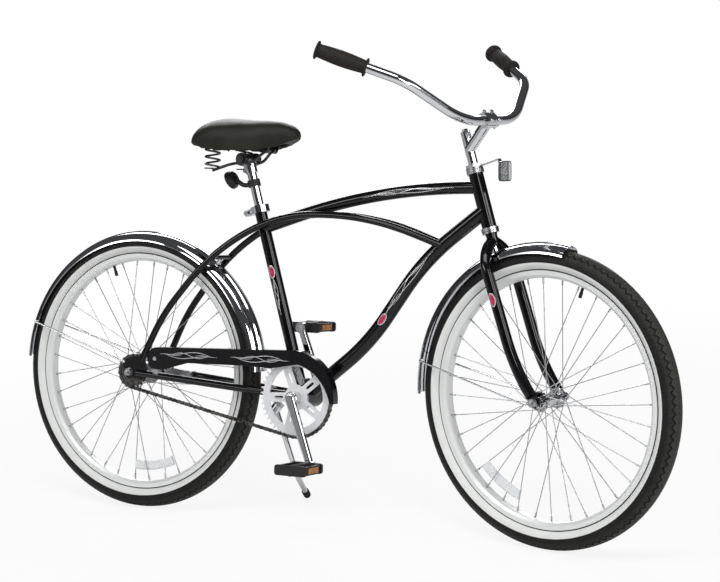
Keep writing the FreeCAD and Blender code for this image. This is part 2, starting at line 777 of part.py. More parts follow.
def fork_end_left():
    """Slotted plate that holds the front axle."""
    low = BLADE_OFFSET - FORK_END_THICKNESS / 2
    high = BLADE_OFFSET + FORK_END_THICKNESS / 2
    along = blade_end_direction()
    root = FRONT_AXLE - along * 34.0
    mouth = FRONT_AXLE + along * 30.0
    slot_radius = AXLE_RADIUS + SLIDE_CLEARANCE
    plate = hull_plate(
        [(root.x, root.z, 9.0), (FRONT_AXLE.x, FRONT_AXLE.z, FORK_END_RADIUS)], low, high
    )
    slot = hull_plate(
        [(FRONT_AXLE.x, FRONT_AXLE.z, slot_radius), (mouth.x, mouth.z, slot_radius)], low - 1, high + 1
    )
    return plate.cut(slot)


def fork_blades():
    """Two curved blades that meet under the steerer, with their slotted ends."""
    bends = [BLADE_SHOULDER_BEND, BLADE_BEND]
    left = tube(blade_points(), bends, BLADE_RADIUS, TUBE_WALL_STEEL)
    steerer = Part.makeCylinder(STEERER_RADIUS, STEERER_FOOT, Vec(0, 0, -STEERER_FOOT))
    reach = FORK_LENGTH
    middle = box(Vec(-reach, -reach, -reach), Vec(reach, 0, reach))
    left = largest(left.cut(steerer).cut(middle).cut(fork_end_left()))
    return group(left, mirrored(left), fork_end_left(), mirrored(fork_end_left()))


def upright_nut(across, low, high, bore):
    """Six-sided nut along Z."""
    nut = hexagon(across, low, high, bore)
    return nut.rotated(Vec(0, 0, 0), Vec(1, 0, 0), 90)


def headset_top():
    """Crown race, adjusting race, reflector bracket and lock nut."""
    bore = STEERER_RADIUS + 0.03
    race_top = -CUP_HEIGHT - 0.9
    crown_race = upright_ring(CUP_RADIUS - 0.5, bore, -CROWN_RACE_DROP + 0.02, race_top)
    low = HEAD_LENGTH + CUP_HEIGHT + 0.9
    high = STEERER_TOP - LOCK_NUT_HEIGHT - BRACKET_SHEET
    race = upright_ring(CUP_RADIUS - 0.5, bore, low, high - 0.05)
    nut = upright_nut(LOCK_NUT_ACROSS, STEERER_TOP - LOCK_NUT_HEIGHT, STEERER_TOP, bore)
    return group(crown_race, race, nut, reflector_bracket(high, bore))


def reflector_bracket(low, bore):
    """Bent strap from the headset to the back of the front reflector."""
    high = low + BRACKET_SHEET - 0.05
    reach = front_lens_back().x - BRACKET_SHEET / 2
    half = BRACKET_WIDTH / 2
    washer = upright_ring(CUP_RADIUS, bore, low, high)
    arm = box(Vec(bore + 2, -half, low), Vec(reach, half, high))
    arm = arm.cut(Part.makeCylinder(bore, LOCK_NUT_HEIGHT, Vec(0, 0, low - 1)))
    drop = box(Vec(reach - BRACKET_SHEET, -half, FRONT_LENS_PLACE[1] - half), Vec(reach, half, high))
    return washer.fuse(arm).fuse(drop).removeSplitter().cut(front_reflector())


def front_lens_back():
    """Middle of the reflector's back face."""
    return Vec(FRONT_LENS_PLACE[0] - FRONT_LENS[0] / 2, 0, FRONT_LENS_PLACE[1])


def front_reflector():
    """Clear reflector with a gently roofed front, hung upright."""
    depth, width, height = FRONT_LENS
    half, back, edge = width / 2, -depth / 2, depth / 4
    roof = outline(flat_xy, (back, -half), (edge, -half), (depth / 2, 0.0), (edge, half), (back, half))
    lens = Part.Face(roof).extrude(Vec(0, 0, height)).translated(Vec(0, 0, -height / 2))
    upright = lens.rotated(Vec(0, 0, 0), Vec(0, 1, 0), 90 - HEAD_ANGLE)
    return upright.translated(Vec(FRONT_LENS_PLACE[0] + BRACKET_SHEET, 0, FRONT_LENS_PLACE[1]))


def clamp_middle():
    """Middle of the bar where the stem holds it."""
    return Vec(CLAMP_FORWARD, 0, CLAMP_HEIGHT)


def stem_direction():
    return (clamp_middle() - Vec(0, 0, STEM_ROOT)).normalize()


def clamp_frame():
    """Placement at the clamp whose Z axis points away from the quill."""
    return FreeCAD.Placement(clamp_middle(), FreeCAD.Rotation(Vec(0, 0, 1), stem_direction()))


def clamp_bolt_places():
    spread = CLAMP_RADIUS - CLAMP_BOLT_RADIUS - 0.6
    return [Vec(x, y, 0) for x in (-spread, spread) for y in (-CLAMP_BOLT_SPREAD, CLAMP_BOLT_SPREAD)]


def clamp_barrel():
    """Whole clamp block round the bar, before it is split."""
    half = CLAMP_HALF_WIDTH
    block = box(Vec(-CLAMP_RADIUS, -half, -CLAMP_RADIUS * 0.72), Vec(CLAMP_RADIUS, half, CLAMP_RADIUS * 0.72))
    barrel = disc(CLAMP_RADIUS, -half, half)
    bore = disc(BAR_RADIUS + SLIDE_CLEARANCE, -half - 1, half + 1)
    return block.common(barrel).cut(bore)


def clamp_half(front):
    """One side of the split clamp, in the clamp's frame."""
    reach = 3 * CLAMP_RADIUS
    gap = CLAMP_SPLIT / 2
    if front:
        keep = box(Vec(-reach, -reach, gap), Vec(reach, reach, reach))
    else:
        keep = box(Vec(-reach, -reach, -reach), Vec(reach, reach, -gap))
    return clamp_barrel().common(keep)


def clamp_bolts(radius):
    length = 2 * CLAMP_RADIUS
    low = Vec(0, 0, CLAMP_RADIUS)
    return [Part.makeCylinder(radius, length, place - low) for place in clamp_bolt_places()]


def stem():
    """Quill with a branching extension and the fixed half of the bar clamp."""
    quill = Part.makeCylinder(QUILL_RADIUS, QUILL_TOP - QUILL_FOOT, Vec(0, 0, QUILL_FOOT))
    end = clamp_middle() - stem_direction() * (BAR_RADIUS - 2.0)
    arm = rod(STEM_RADIUS, Vec(0, 0, STEM_ROOT), end)
    clamp = placed(clamp_half(False), clamp_frame())
    shape = quill.fuse(arm).fuse(clamp)
    bar = disc(BAR_RADIUS + SLIDE_CLEARANCE, -CLAMP_HALF_WIDTH - 1, CLAMP_HALF_WIDTH + 1, clamp_middle())
    bore = Part.makeCylinder(EXPANDER_RADIUS + 0.3, QUILL_TOP, Vec(0, 0, 0))
    shape = shape.cut(bar).cut(bore)
    for bolt in clamp_bolts(CLAMP_BOLT_RADIUS + 0.1):
        shape = shape.cut(placed(bolt, clamp_frame()))
    return shape.removeSplitter()


def stem_fixings():
    """Bar cap, its four bolts, the expander bolt and its wedge."""
    cap = clamp_half(True)
    for bolt in clamp_bolts(CLAMP_BOLT_RADIUS + 0.1):
        cap = cap.cut(bolt)
    head_low = CLAMP_RADIUS * 0.72 + 0.05
    shank_low = -CLAMP_RADIUS * 0.72
    bolts = []
    for place in clamp_bolt_places():
        shank = Part.makeCylinder(CLAMP_BOLT_RADIUS, head_low - shank_low, place + Vec(0, 0, shank_low))
        head = Part.makeCylinder(CLAMP_BOLT_RADIUS + 1.4, 3.6, place + Vec(0, 0, head_low))
        bolts.append(shank.fuse(head))
    clamp = placed(group(cap, *bolts), clamp_frame())
    wedge_top = QUILL_FOOT - 1.0
    wedge = Part.makeCylinder(QUILL_RADIUS - 0.1, WEDGE_LENGTH, Vec(0, 0, wedge_top - WEDGE_LENGTH))
    shank = Part.makeCylinder(EXPANDER_RADIUS, QUILL_TOP - wedge_top + 0.05, Vec(0, 0, wedge_top))
    head = upright_nut(13.0, QUILL_TOP + 0.05, QUILL_TOP + 6.0, 0.5)
    return group(clamp, wedge, shank.fuse(head).removeSplitter())


def bar_points():
    """Left half of the bar, from its middle to its end."""
    root = clamp_middle() + Vec(0, BAR_CENTRE, 0)
    knee = root + Vec(*BAR_KNEE)
    return [root, knee, knee + Vec(*BAR_SWEEP)]


def handlebar():
    left = bar_points()
    end_cap = (left[1] - left[2]).normalize() * (GRIP_FLANGE_THICKNESS + 0.1)
    left[2] = left[2] + end_cap
    right = [Vec(p.x, -p.y, p.z) for p in reversed(left)]
    bends = [BAR_BENDS[1], BAR_BENDS[0], BAR_BENDS[0], BAR_BENDS[1]]
    return tube(right + left, bends, BAR_RADIUS, BAR_WALL)


def grip_left():
    """Swelling sleeve with a flange at each end and a closed outer end."""
    bore = BAR_RADIUS + 0.05
    cap = GRIP_FLANGE_THICKNESS
    length = GRIP_LENGTH
    shape = turned_up(
        (0.0, 0.0), (GRIP_FLANGE - 2.0, 0.0), (GRIP_FLANGE, 1.5), (GRIP_FLANGE, cap), (GRIP_RADIUS, cap + 3),
        ((GRIP_SWELL, length / 2), (GRIP_RADIUS, length - cap - 3)),
        (GRIP_FLANGE, length - cap), (GRIP_FLANGE, length - 1.5), (GRIP_FLANGE - 2.0, length),
        (bore, length), (bore, cap + 0.05), (0.0, cap + 0.05),
    )
    points = bar_points()
    inward = points[1] - points[2]
    return placed(shape, FreeCAD.Placement(points[2], FreeCAD.Rotation(Vec(0, 0, 1), inward)))


def axle_end(outer_stop):
    """Half length of an axle whose washers start at a given distance from the middle."""
    return outer_stop + WASHER_THICKNESS + 0.1 + NUT_HEIGHT + AXLE_STUB


def axle_set(inner, outer_stop, spacer_low, spacer_high):
    """Axle with a cone or spacer on each side, a washer and a nut, about Y."""
    washer_high = outer_stop + WASHER_THICKNESS
    nut_low = washer_high + 0.1
    end = axle_end(outer_stop)
    bore = AXLE_RADIUS + 0.03
    spacer = ring(CONE_RADIUS, bore, spacer_low, spacer_high)
    washer = ring(WASHER_RADIUS, bore, outer_stop + 0.05, washer_high)
    nut = hexagon(NUT_ACROSS, nut_low, nut_low + NUT_HEIGHT, bore)
    neck = end - AXLE_STUB
    tip = STUB_RADIUS - STUB_CHAMFER
    axle = turned(
        (0.0, -end), (tip, -end), (STUB_RADIUS, -end + STUB_CHAMFER), (STUB_RADIUS, -neck),
        (AXLE_RADIUS, -neck), (AXLE_RADIUS, neck), (STUB_RADIUS, neck), (STUB_RADIUS, end - STUB_CHAMFER),
        (tip, end), (0.0, end),
    )
    return group(axle, washer, mirrored(washer), nut, mirrored(nut), *inner(spacer))


def front_axle_stop():
    """Where the front washers start, outside the stay eyes."""
    return BLADE_OFFSET + FORK_END_THICKNESS / 2 + 2 * FENDER_STAY_RADIUS


def front_axle():
    """Axle, bearing cones, washers and nuts; the stay eyes sit under the washers."""
    inner_face = BLADE_OFFSET - FORK_END_THICKNESS / 2
    shape = axle_set(
        lambda spacer: (spacer, mirrored(spacer)), front_axle_stop(), FRONT_FLANGE_OFFSET, inner_face - 0.05
    )
    return shape.translated(FRONT_AXLE)


# Wheels, drawn about the Y axis and then moved to their axles

def tyre():
    """Open-bottomed tyre carcass, hooked inside the rim edges."""
    half = TYRE_WIDTH / 2
    bead = RIM_HALF_WIDTH - RIM_WALL - 0.4
    foot = RIM_EDGE_RADIUS - 5.5
    lip = RIM_EDGE_RADIUS + 1.0
    side = TYRE_RADIUS - half - 2.0
    shoulder = TYRE_RADIUS - TYRE_SHOULDER
    wall = TYRE_WALL
    wide = half - 0.11 * half
    return turned(
        (foot, -bead), (lip, -bead),
        ((side, -half), (shoulder, -wide)), ((TYRE_RADIUS, 0.0), (shoulder, wide)),
        ((side, half), (lip, bead)),
        (foot, bead), (foot, bead - wall + 1),
        (lip + 1, bead - wall + 1),
        ((side, half - wall), (shoulder - wall / 2, wide - wall)),
        ((TYRE_RADIUS - wall, 0.0), (shoulder - wall / 2, wall - wide)),
        ((side, wall - half), (lip + 1, wall - 1 - bead)),
        (foot, wall - 1 - bead),
    )


def inner_tube(valve_angle):
    """Hollow ring of rubber, with the valve standing through the rim."""
    outer = (TYRE_RADIUS - TYRE_WALL - TUBE_GAP - RIM_EDGE_RADIUS) / 2 - TUBE_GAP - 0.25
    middle = TYRE_RADIUS - TYRE_WALL - TUBE_GAP - outer
    hollow = Part.makeTorus(middle, outer - TUBE_WALL, Vec(0, 0, 0), Vec(0, 1, 0))
    donut = Part.makeTorus(middle, outer, Vec(0, 0, 0), Vec(0, 1, 0))
    root = middle - outer + TUBE_WALL / 2
    tip = RIM_INNER_RADIUS - VALVE_REACH
    stem_end = tip + VALVE_CAP_LENGTH
    stem_shape = rod(VALVE_RADIUS, polar(root, valve_angle), polar(stem_end, valve_angle))
    cap = rod(VALVE_CAP_RADIUS, polar(stem_end - 0.05, valve_angle), polar(tip, valve_angle))
    return group(donut.fuse(stem_shape).cut(hollow), cap)


def rim(valve_angle, flange):
    """Single-wall rim with a sunk well, spoke holes and a valve hole."""
    half, wall = RIM_HALF_WIDTH, RIM_WALL
    edge, floor = RIM_EDGE_RADIUS, RIM_INNER_RADIUS
    right = [
        (edge, half), (edge - 10, half - 0.4), (floor + 1.5, half - 5), (floor, half - 11),
    ]
    inside = [
        (floor + wall, half - 12), (floor + wall + 1.4, half - 9), (edge - 8.5, half - 5),
        (edge - 7, half - wall - 0.5), (edge, half - wall),
    ]
    left = [(r, -y) for r, y in reversed(right)]
    inside_left = [(r, -y) for r, y in reversed(inside)]
    shape = turned(*right, *left, *inside_left, *inside)
    holes = [rod(NIPPLE_HOLE, start, end) for start, end in nipple_lines(flange, 8.0)]
    valve = rod(VALVE_CAP_RADIUS + 0.3, polar(floor - 10, valve_angle), polar(edge, valve_angle))
    return shape.cut(Part.makeCompound(holes + [valve]))


def spoke_ends(index, flange):
    """Hub end and rim end of one spoke: sides alternate, and so do pulling and pushing spokes."""
    offset, hole_radius = flange
    side = 1 if index % 2 == 0 else -1
    lean = 1 if index % 4 < 2 else -1
    step = 360.0 / SPOKES
    rim_angle = index * step + step / 2
    hub_angle = rim_angle + lean * SPOKE_CROSSES * 2 * step
    gap = SPOKE_OUTSIDE_GAP if lean > 0 else SPOKE_INSIDE_GAP
    y = side * (offset + lean * (FLANGE_THICKNESS / 2 + SPOKE_RADIUS + gap))
    hub_end = polar(hole_radius, hub_angle, y)
    rim_end = polar(RIM_INNER_RADIUS - NIPPLE_LENGTH + 2.5, rim_angle, side * SPOKE_STAGGER)
    return hub_end, rim_end, side * lean, FLANGE_THICKNESS + SPOKE_RADIUS + gap


def nipple_lines(flange, extra):
    """Start and end of every nipple, along its own spoke."""
    lines = []
    for index in range(SPOKES):
        hub_end, rim_end, _, _ = spoke_ends(index, flange)
        along = (rim_end - hub_end).normalize()
        lines.append((rim_end, rim_end + along * (NIPPLE_LENGTH + extra)))
    return lines


def spokes(flange):
    """Spokes with bent, headed hub ends, and their nipples."""
    pieces = []
    for index in range(SPOKES):
        hub_end, rim_end, outward, through = spoke_ends(index, flange)
        inward = Vec(0, -outward, 0)
        depth = through + SPOKE_RADIUS + SPOKE_INSIDE_GAP
        elbow = rod(SPOKE_RADIUS, hub_end, hub_end + inward * depth)
        tip = hub_end + inward * (depth + 0.8)
        head = rod(2 * SPOKE_RADIUS, hub_end + inward * (depth - SPOKE_RADIUS), tip)
        spoke = rod(SPOKE_RADIUS, hub_end, rim_end).fuse(Part.makeSphere(SPOKE_RADIUS, hub_end))
        pieces.append(spoke.fuse(elbow).fuse(head))
    for start, end in nipple_lines(flange, 0.0):
        pieces.append(rod(NIPPLE_RADIUS, start, end))
    return group(*pieces)


def spoke_holes(flange):
    """Cutters for the flange holes."""
    reach = Vec(0, 4 * FLANGE_THICKNESS, 0)
    cutters = []
    for index in range(SPOKES):
        hub_end, _, _, _ = spoke_ends(index, flange)
        cutters.append(rod(SPOKE_RADIUS + 0.2, hub_end - reach, hub_end + reach))
    return Part.makeCompound(cutters)


def hub_balls(pitch, y):
    ball = Part.makeSphere(HUB_BALL_RADIUS, Vec(pitch, y, 0))
    return group(*spun(ball, HUB_BALLS))


def front_flange():
    return FRONT_FLANGE_OFFSET, FRONT_HUB_FLANGE - SPOKE_HOLE_MARGIN


def rear_flange():
    return REAR_FLANGE_OFFSET, REAR_HUB_FLANGE - SPOKE_HOLE_MARGIN


def hub_shell(barrel, bore, cup, flange_radius, flange):
    """Spool with two drilled flanges and a bearing pocket at each end."""
    offset = flange[0]
    low, high = offset - FLANGE_THICKNESS / 2, offset + FLANGE_THICKNESS / 2
    end = high + HUB_END
    pocket = end - 2.6 * HUB_BALL_RADIUS
    nose = max(cup, barrel) + 1.5
    right = [
        (bore, 0.0), (barrel, 0.0), (barrel, low - 4), (barrel + 3, low),
        (flange_radius, low), (flange_radius, high),
        (nose, high), (nose, end), (cup, end), (cup, pocket), (bore, pocket - 0.1),
    ]
    half = turned(*right)
    whole = half.fuse(mirrored(half)).removeSplitter()
    return whole.cut(spoke_holes(flange))


def front_hub():
    shell = hub_shell(FRONT_HUB_BARREL, FRONT_HUB_BORE, FRONT_HUB_CUP, FRONT_HUB_FLANGE, front_flange())
    end = FRONT_FLANGE_OFFSET + FLANGE_THICKNESS / 2 + HUB_END
    balls = hub_balls((CONE_RADIUS + FRONT_HUB_CUP) / 2, end - 1.25 * HUB_BALL_RADIUS)
    return group(shell, balls, mirrored(balls))


def rear_hub():
    shell = hub_shell(REAR_HUB_BARREL, REAR_HUB_BORE, REAR_HUB_BORE + 0.4, REAR_HUB_FLANGE, rear_flange())
    end = REAR_FLANGE_OFFSET + FLANGE_THICKNESS / 2 + HUB_END
    balls = hub_balls((DRIVER_RADIUS + REAR_HUB_BORE + 0.4) / 2, end - 1.25 * HUB_BALL_RADIUS)
    return group(shell, balls, mirrored(balls))


def wheel_reflector(angle):
    """Curved strip clipped between the two rows of spokes."""
    outer = WHEEL_REFLECTOR_RADIUS + WHEEL_REFLECTOR_HEIGHT / 2
    inner = WHEEL_REFLECTOR_RADIUS - WHEEL_REFLECTOR_HEIGHT / 2
    half = WHEEL_REFLECTOR_THICKNESS / 2
    sweep = math.degrees(WHEEL_REFLECTOR_LENGTH / WHEEL_REFLECTOR_RADIUS)
    face = Part.Face(outline(flat_xy, (inner, -half + 1), (outer - 4, -half), (outer, -half + 2),
                             (outer, half - 2), (outer - 4, half), (inner, half - 1)))
    strip = face.revolve(Vec(0, 0, 0), Vec(0, 1, 0), sweep)
    return strip.rotated(Vec(0, 0, 0), Vec(0, 1, 0), -angle - sweep / 2)


def wheel(prefix, valve_angle, flange, hub, reflector_angle):
    """Pieces of one wheel by node name."""
    return {
        prefix + "_tyre": tyre(),
        prefix + "_inner_tube": inner_tube(valve_angle),
        prefix + "_rim": rim(valve_angle, flange),
        prefix + "_spokes": spokes(flange),
        prefix + "_hub": hub,
        prefix + "_wheel_reflector": wheel_reflector(reflector_angle),
    }


# Rear axle and coaster brake

def rear_axle():
    """Axle, right cone, left lock nut, washers and nuts."""
    arm_out = BRAKE_ARM_Y + BRAKE_ARM_THICKNESS
    bore = AXLE_RADIUS + 0.03
    left_nut = ring(CONE_RADIUS + 2, bore, arm_out + 0.05, DROPOUT_INNER - 0.05)
    right = ring(CONE_RADIUS, bore, -DROPOUT_INNER + 0.05, -CHAIN_LINE - TOOTH_THICKNESS)
    shape = axle_set(lambda spacer: (left_nut, right), DROPOUT_INNER + DROPOUT_THICKNESS, 0.0, 1.0)
    return shape.translated(REAR_AXLE)


def brake_arm_end():
    """Strap end of the brake arm, beside the left chain stay."""
    stay = chain_stay_points()
    share = (BRAKE_ARM_LENGTH - stay[2].x) / (stay[1].x - stay[2].x)
    on_stay = stay[2] + (stay[1] - stay[2]) * share
    return on_stay


def brake_arm():
    """Arm and brake cone on the left of the hub, held to the stay by a strap."""
    low, high = BRAKE_ARM_Y, BRAKE_ARM_Y + BRAKE_ARM_THICKNESS
    on_stay = brake_arm_end()
    bore = AXLE_RADIUS + 0.03
    plate = hull_plate(
        [(0.0, AXLE_HEIGHT, DROPOUT_RADIUS - 1), (on_stay.x, on_stay.z, 8.0)], low, high
    )
    plate = plate.cut(disc(bore, low - 1, high + 1, REAR_AXLE))
    cone = ring(BRAKE_CONE_RADIUS, bore, low - 15.0, low - 0.05).translated(REAR_AXLE)
    stay = chain_stay_points()
    along = (stay[1] - stay[2]).normalize()
    start = on_stay - along * (BRAKE_STRAP_WIDTH / 2)
    end = on_stay + along * (BRAKE_STRAP_WIDTH / 2)
    fit = CHAIN_STAY_RADIUS + 0.05
    strap = rod(fit + BRAKE_STRAP_THICKNESS, start, end).cut(rod(fit, start - along, end + along))
    corner = Vec(start.x, high + 0.05, on_stay.z - fit - BRAKE_STRAP_THICKNESS)
    floor = box(corner, Vec(end.x, on_stay.y, on_stay.z - fit + 1.0))
    ear = box(corner, Vec(end.x, corner.y + BRAKE_STRAP_THICKNESS, on_stay.z))
    strap = strap.fuse(floor).fuse(ear).cut(rod(fit, start - along * 3, end + along * 3))
    strap = largest(strap.removeSplitter())
    screw = disc(3.2, low - 4.0, low - 0.05, Vec(on_stay.x, 0, on_stay.z))
    return group(plate, cone, strap, screw)


def coaster_brake_shoes():
    """Two half-round shoes that press outwards inside the hub."""
    high = BRAKE_ARM_Y - 15.3
    low = high - BRAKE_SHOE_LENGTH
    shoe = ring(BRAKE_SHOE_RADIUS, BRAKE_CONE_RADIUS + 0.5, low, high)
    reach = 2 * BRAKE_SHOE_RADIUS
    slot = box(Vec(-reach, low - 1, -1.0), Vec(reach, high + 1, 1.0))
    return group(shoe.cut(slot)).translated(REAR_AXLE)


# Chain drive

def chain_stations():
    """Middle and direction angle of every roller, round the loop."""
    lean = chain_lean(CENTRES)
    tilt = math.atan2(BRACKET.z - AXLE_HEIGHT, BRACKET.x)
    upper = tilt + math.pi / 2 + lean
    lower = tilt - math.pi / 2 - lean
    run = CENTRES * math.cos(lean) / CHAIN_PITCH
    over_ring = CHAINRING_TEETH * (math.pi + 2 * lean) / (2 * math.pi)
    stations = []
    for link in range(CHAIN_LINKS):
        if link < run:
            start = REAR_AXLE + polar(SPROCKET_PITCH_RADIUS, math.degrees(upper))
            place = start + polar(link * CHAIN_PITCH, math.degrees(upper - math.pi / 2))
        elif link < run + over_ring:
            angle = upper - (link - run) * 2 * math.pi / CHAINRING_TEETH
            place = BRACKET + polar(RING_PITCH_RADIUS, math.degrees(angle))
        elif link < 2 * run + over_ring:
            start = BRACKET + polar(RING_PITCH_RADIUS, math.degrees(lower))
            place = start + polar((link - run - over_ring) * CHAIN_PITCH, math.degrees(lower - math.pi / 2))
        else:
            angle = lower - (link - 2 * run - over_ring) * 2 * math.pi / SPROCKET_TEETH
            place = REAR_AXLE + polar(SPROCKET_PITCH_RADIUS, math.degrees(angle))
        stations.append(Vec(place.x, -CHAIN_LINE, place.z))
    return stations


def link_plate(low):
    """Waisted side plate of one link along X."""
    half = CHAIN_PLATE_HEIGHT / 2
    waist = half * 0.78
    middle = CHAIN_PITCH / 2
    wire = outline(
        flat_xz, (0.0, half), ((-half, 0.0), (0.0, -half)), ((middle, -waist), (CHAIN_PITCH, -half)),
        ((CHAIN_PITCH + half, 0.0), (CHAIN_PITCH, half)), ((middle, waist), (0.0, half)),
    )
    return Part.Face(wire).extrude(Vec(0, CHAIN_PLATE_THICKNESS, 0)).translated(Vec(0, low, 0))


def chain_link(inner):
    """One link along X: rollers between inner plates, or pins through outer plates."""
    low = ROLLER_WIDTH / 2 if inner else ROLLER_WIDTH / 2 + CHAIN_PLATE_THICKNESS + 0.1
    link = link_plate(low)
    far = mirrored(link)
    ends = (Vec(0, 0, 0), Vec(CHAIN_PITCH, 0, 0))
    if inner:
        for end in ends:
            link = link.fuse(disc(ROLLER_RADIUS, -low, low, end))
        link = link.fuse(far)
        for end in ends:
            link = link.cut(disc(CHAIN_PIN_RADIUS + 0.1, -2 * low - 2, 2 * low + 2, end))
        return link
    reach = low + CHAIN_PLATE_THICKNESS + 0.6
    for end in ends:
        link = link.fuse(disc(CHAIN_PIN_RADIUS, -reach, reach, end))
    return link.fuse(far)


def chain():
    """Closed loop of alternating inner and outer links."""
    stations = chain_stations()
    patterns = (chain_link(True), chain_link(False))
    links = []
    for k, start in enumerate(stations):
        end = stations[(k + 1) % CHAIN_LINKS]
        angle = math.degrees(math.atan2(end.z - start.z, end.x - start.x))
        place = FreeCAD.Placement(start, FreeCAD.Rotation(Vec(0, 1, 0), -angle))
        links.append(placed(patterns[k % 2], place))
    return group(*links)


def toothed_face(teeth, pitch_radius, seat_angle):
    """Face with a round seat for every roller and a narrow tooth between them."""
    seat = ROLLER_RADIUS + MESH_CLEARANCE
    spread = math.radians(70.0)
    step = 2 * math.pi / teeth
    tip_radius = pitch_radius + TOOTH_HEIGHT
    tip_half = TOOTH_TIP / tip_radius
    steps = []
    for k in range(teeth):
        angle = seat_angle + k * step
        out = (math.cos(angle), math.sin(angle))
        side = (-out[1], out[0])
        low = pitch_radius - seat * math.cos(spread)
        wide = seat * math.sin(spread)
        seat_start = (low * out[0] - wide * side[0], low * out[1] - wide * side[1])
        seat_end = (low * out[0] + wide * side[0], low * out[1] + wide * side[1])
        floor = ((pitch_radius - seat) * out[0], (pitch_radius - seat) * out[1])
        steps.append(seat_start)
        steps.append((floor, seat_end))
        for tip in (angle + step / 2 - tip_half, angle + step / 2 + tip_half):
            steps.append((tip_radius * math.cos(tip), tip_radius * math.sin(tip)))
    return Part.Face(outline(flat_xz, *steps))


def sprocket_plate(teeth, pitch_radius, centre, roller):
    """Toothed plate on the chain line, seated on a given roller."""
    angle = math.atan2(roller.z - centre.z, roller.x - centre.x)
    plate = toothed_face(teeth, pitch_radius, angle).extrude(Vec(0, TOOTH_THICKNESS, 0))
    return plate.translated(Vec(0, -CHAIN_LINE - TOOTH_THICKNESS / 2, 0))


def chainring():
    """Toothed ring on a five-armed spider with slotted arms."""
    roller = next(place for place in chain_stations() if place.x > BRACKET.x + RING_PITCH_RADIUS / 2)
    plate = sprocket_plate(CHAINRING_TEETH, RING_PITCH_RADIUS, BRACKET, roller)
    low, high = -CHAIN_LINE - TOOTH_THICKNESS, -CHAIN_LINE + TOOTH_THICKNESS
    cuts = [disc(CRANK_AXLE_RADIUS + 0.05, low, high)]
    step = 360.0 / SPIDER_ARMS
    inner_turn = math.degrees(math.asin(SPIDER_ARM_HALF_WIDTH / SPIDER_RADIUS))
    outer_turn = math.degrees(math.asin(SPIDER_ARM_HALF_WIDTH / RING_INNER_RADIUS))
    for k in range(SPIDER_ARMS):
        arm = CRANK_ANGLE + step / 2 + k * step
        corners = [
            polar(SPIDER_RADIUS, arm + inner_turn), polar(RING_INNER_RADIUS, arm + outer_turn),
            polar(RING_INNER_RADIUS, arm + step / 2), polar(RING_INNER_RADIUS, arm + step - outer_turn),
            polar(SPIDER_RADIUS, arm + step - inner_turn), polar(SPIDER_RADIUS, arm + step / 2),
        ]
        p = [(corner.x, corner.z) for corner in corners]
        window = outline(flat_xz, p[0], p[1], (p[2], p[3]), p[4], (p[5], p[0]))
        cuts.append(Part.Face(window).extrude(Vec(0, high - low, 0)).translated(Vec(0, low, 0)))
        slot_in, slot_out = polar(SPIDER_SLOT[0], arm), polar(SPIDER_SLOT[1], arm)
        cuts.append(hull_plate(
            [(slot_in.x, slot_in.z, SPIDER_SLOT[2]), (slot_out.x, slot_out.z, SPIDER_SLOT[2])], low, high
        ))
    return plate.cut(Part.makeCompound(cuts)).translated(BRACKET)


def rear_sprocket():
    """Driver that turns on the rear axle, with the sprocket on it."""
    roller = chain_stations()[0] - REAR_AXLE
    plate = sprocket_plate(SPROCKET_TEETH, SPROCKET_PITCH_RADIUS, Vec(0, 0, 0), roller)
    low = -CHAIN_LINE - TOOTH_THICKNESS / 2
    plate = plate.cut(disc(DRIVER_RADIUS + 0.03, low - 1, low + 2 * TOOTH_THICKNESS))
    inside = BRAKE_ARM_Y - 15.3 - BRAKE_SHOE_LENGTH - 0.5
    driver = ring(DRIVER_RADIUS, AXLE_RADIUS + DRIVER_FIT, low, inside)
    return group(plate, driver).translated(REAR_AXLE)


def rim_edges(plate, heights):
    """Edges of a flat plate that lie in its two faces."""
    edges = []
    for edge in plate.Edges:
        span = edge.BoundBox
        if any(abs(span.YMin - y) < 0.01 and abs(span.YMax - y) < 0.01 for y in heights):
            edges.append(edge)
    return edges


def crank_arm(side):
    """Tapered arm with round edges and an eye for the pedal, pointing along the crank angle."""
    low, high = (CRANK_INNER, CRANK_INNER + CRANK_THICKNESS)
    if side < 0:
        low, high = -high, -low
    angle = CRANK_ANGLE if side < 0 else CRANK_ANGLE + 180.0
    end = polar(CRANK_LENGTH, angle)
    arm = hull_plate([(0.0, 0.0, CRANK_ROOT_WIDTH / 2), (end.x, end.z, CRANK_END_WIDTH / 2)], low, high)
    arm = arm.makeFillet(CRANK_EDGE_RADIUS, rim_edges(arm, (low, high)))
    eye = disc(CRANK_EYE_RADIUS, low, high, end)
    hole = disc(PEDAL_THREAD_RADIUS + 0.04, low - 1, high + 1, end)
    return arm.fuse(eye).removeSplitter().cut(hole)


def crank():
    """One-piece crank with its bearing cones and lock nut as separate rings."""
    axle = disc(CRANK_AXLE_RADIUS, -CRANK_INNER - 1, CRANK_INNER + 1)
    ring_face = CHAIN_LINE + TOOTH_THICKNESS / 2 + 0.05
    boss = disc(CRANK_ROOT_WIDTH / 2 + 3, -CRANK_INNER - 1, -ring_face)
    shape = axle.fuse(crank_arm(-1)).fuse(crank_arm(1)).fuse(boss).removeSplitter()
    bore = CRANK_AXLE_RADIUS + 0.03
    cup_face = SHELL_HALF_WIDTH + 2.5
    cone = ring(CRANK_CONE_RADIUS, bore, SHELL_HALF_WIDTH - 8, cup_face + 1)
    right_nut = ring(CRANK_CONE_RADIUS + 4, bore, -CHAIN_LINE + TOOTH_THICKNESS / 2 + 0.05, -cup_face - 1.1)
    left_nut = ring(CRANK_CONE_RADIUS + 5, bore, cup_face + 1.1, cup_face + 8)
    return group(shape, cone, mirrored(cone), right_nut, left_nut).translated(BRACKET)


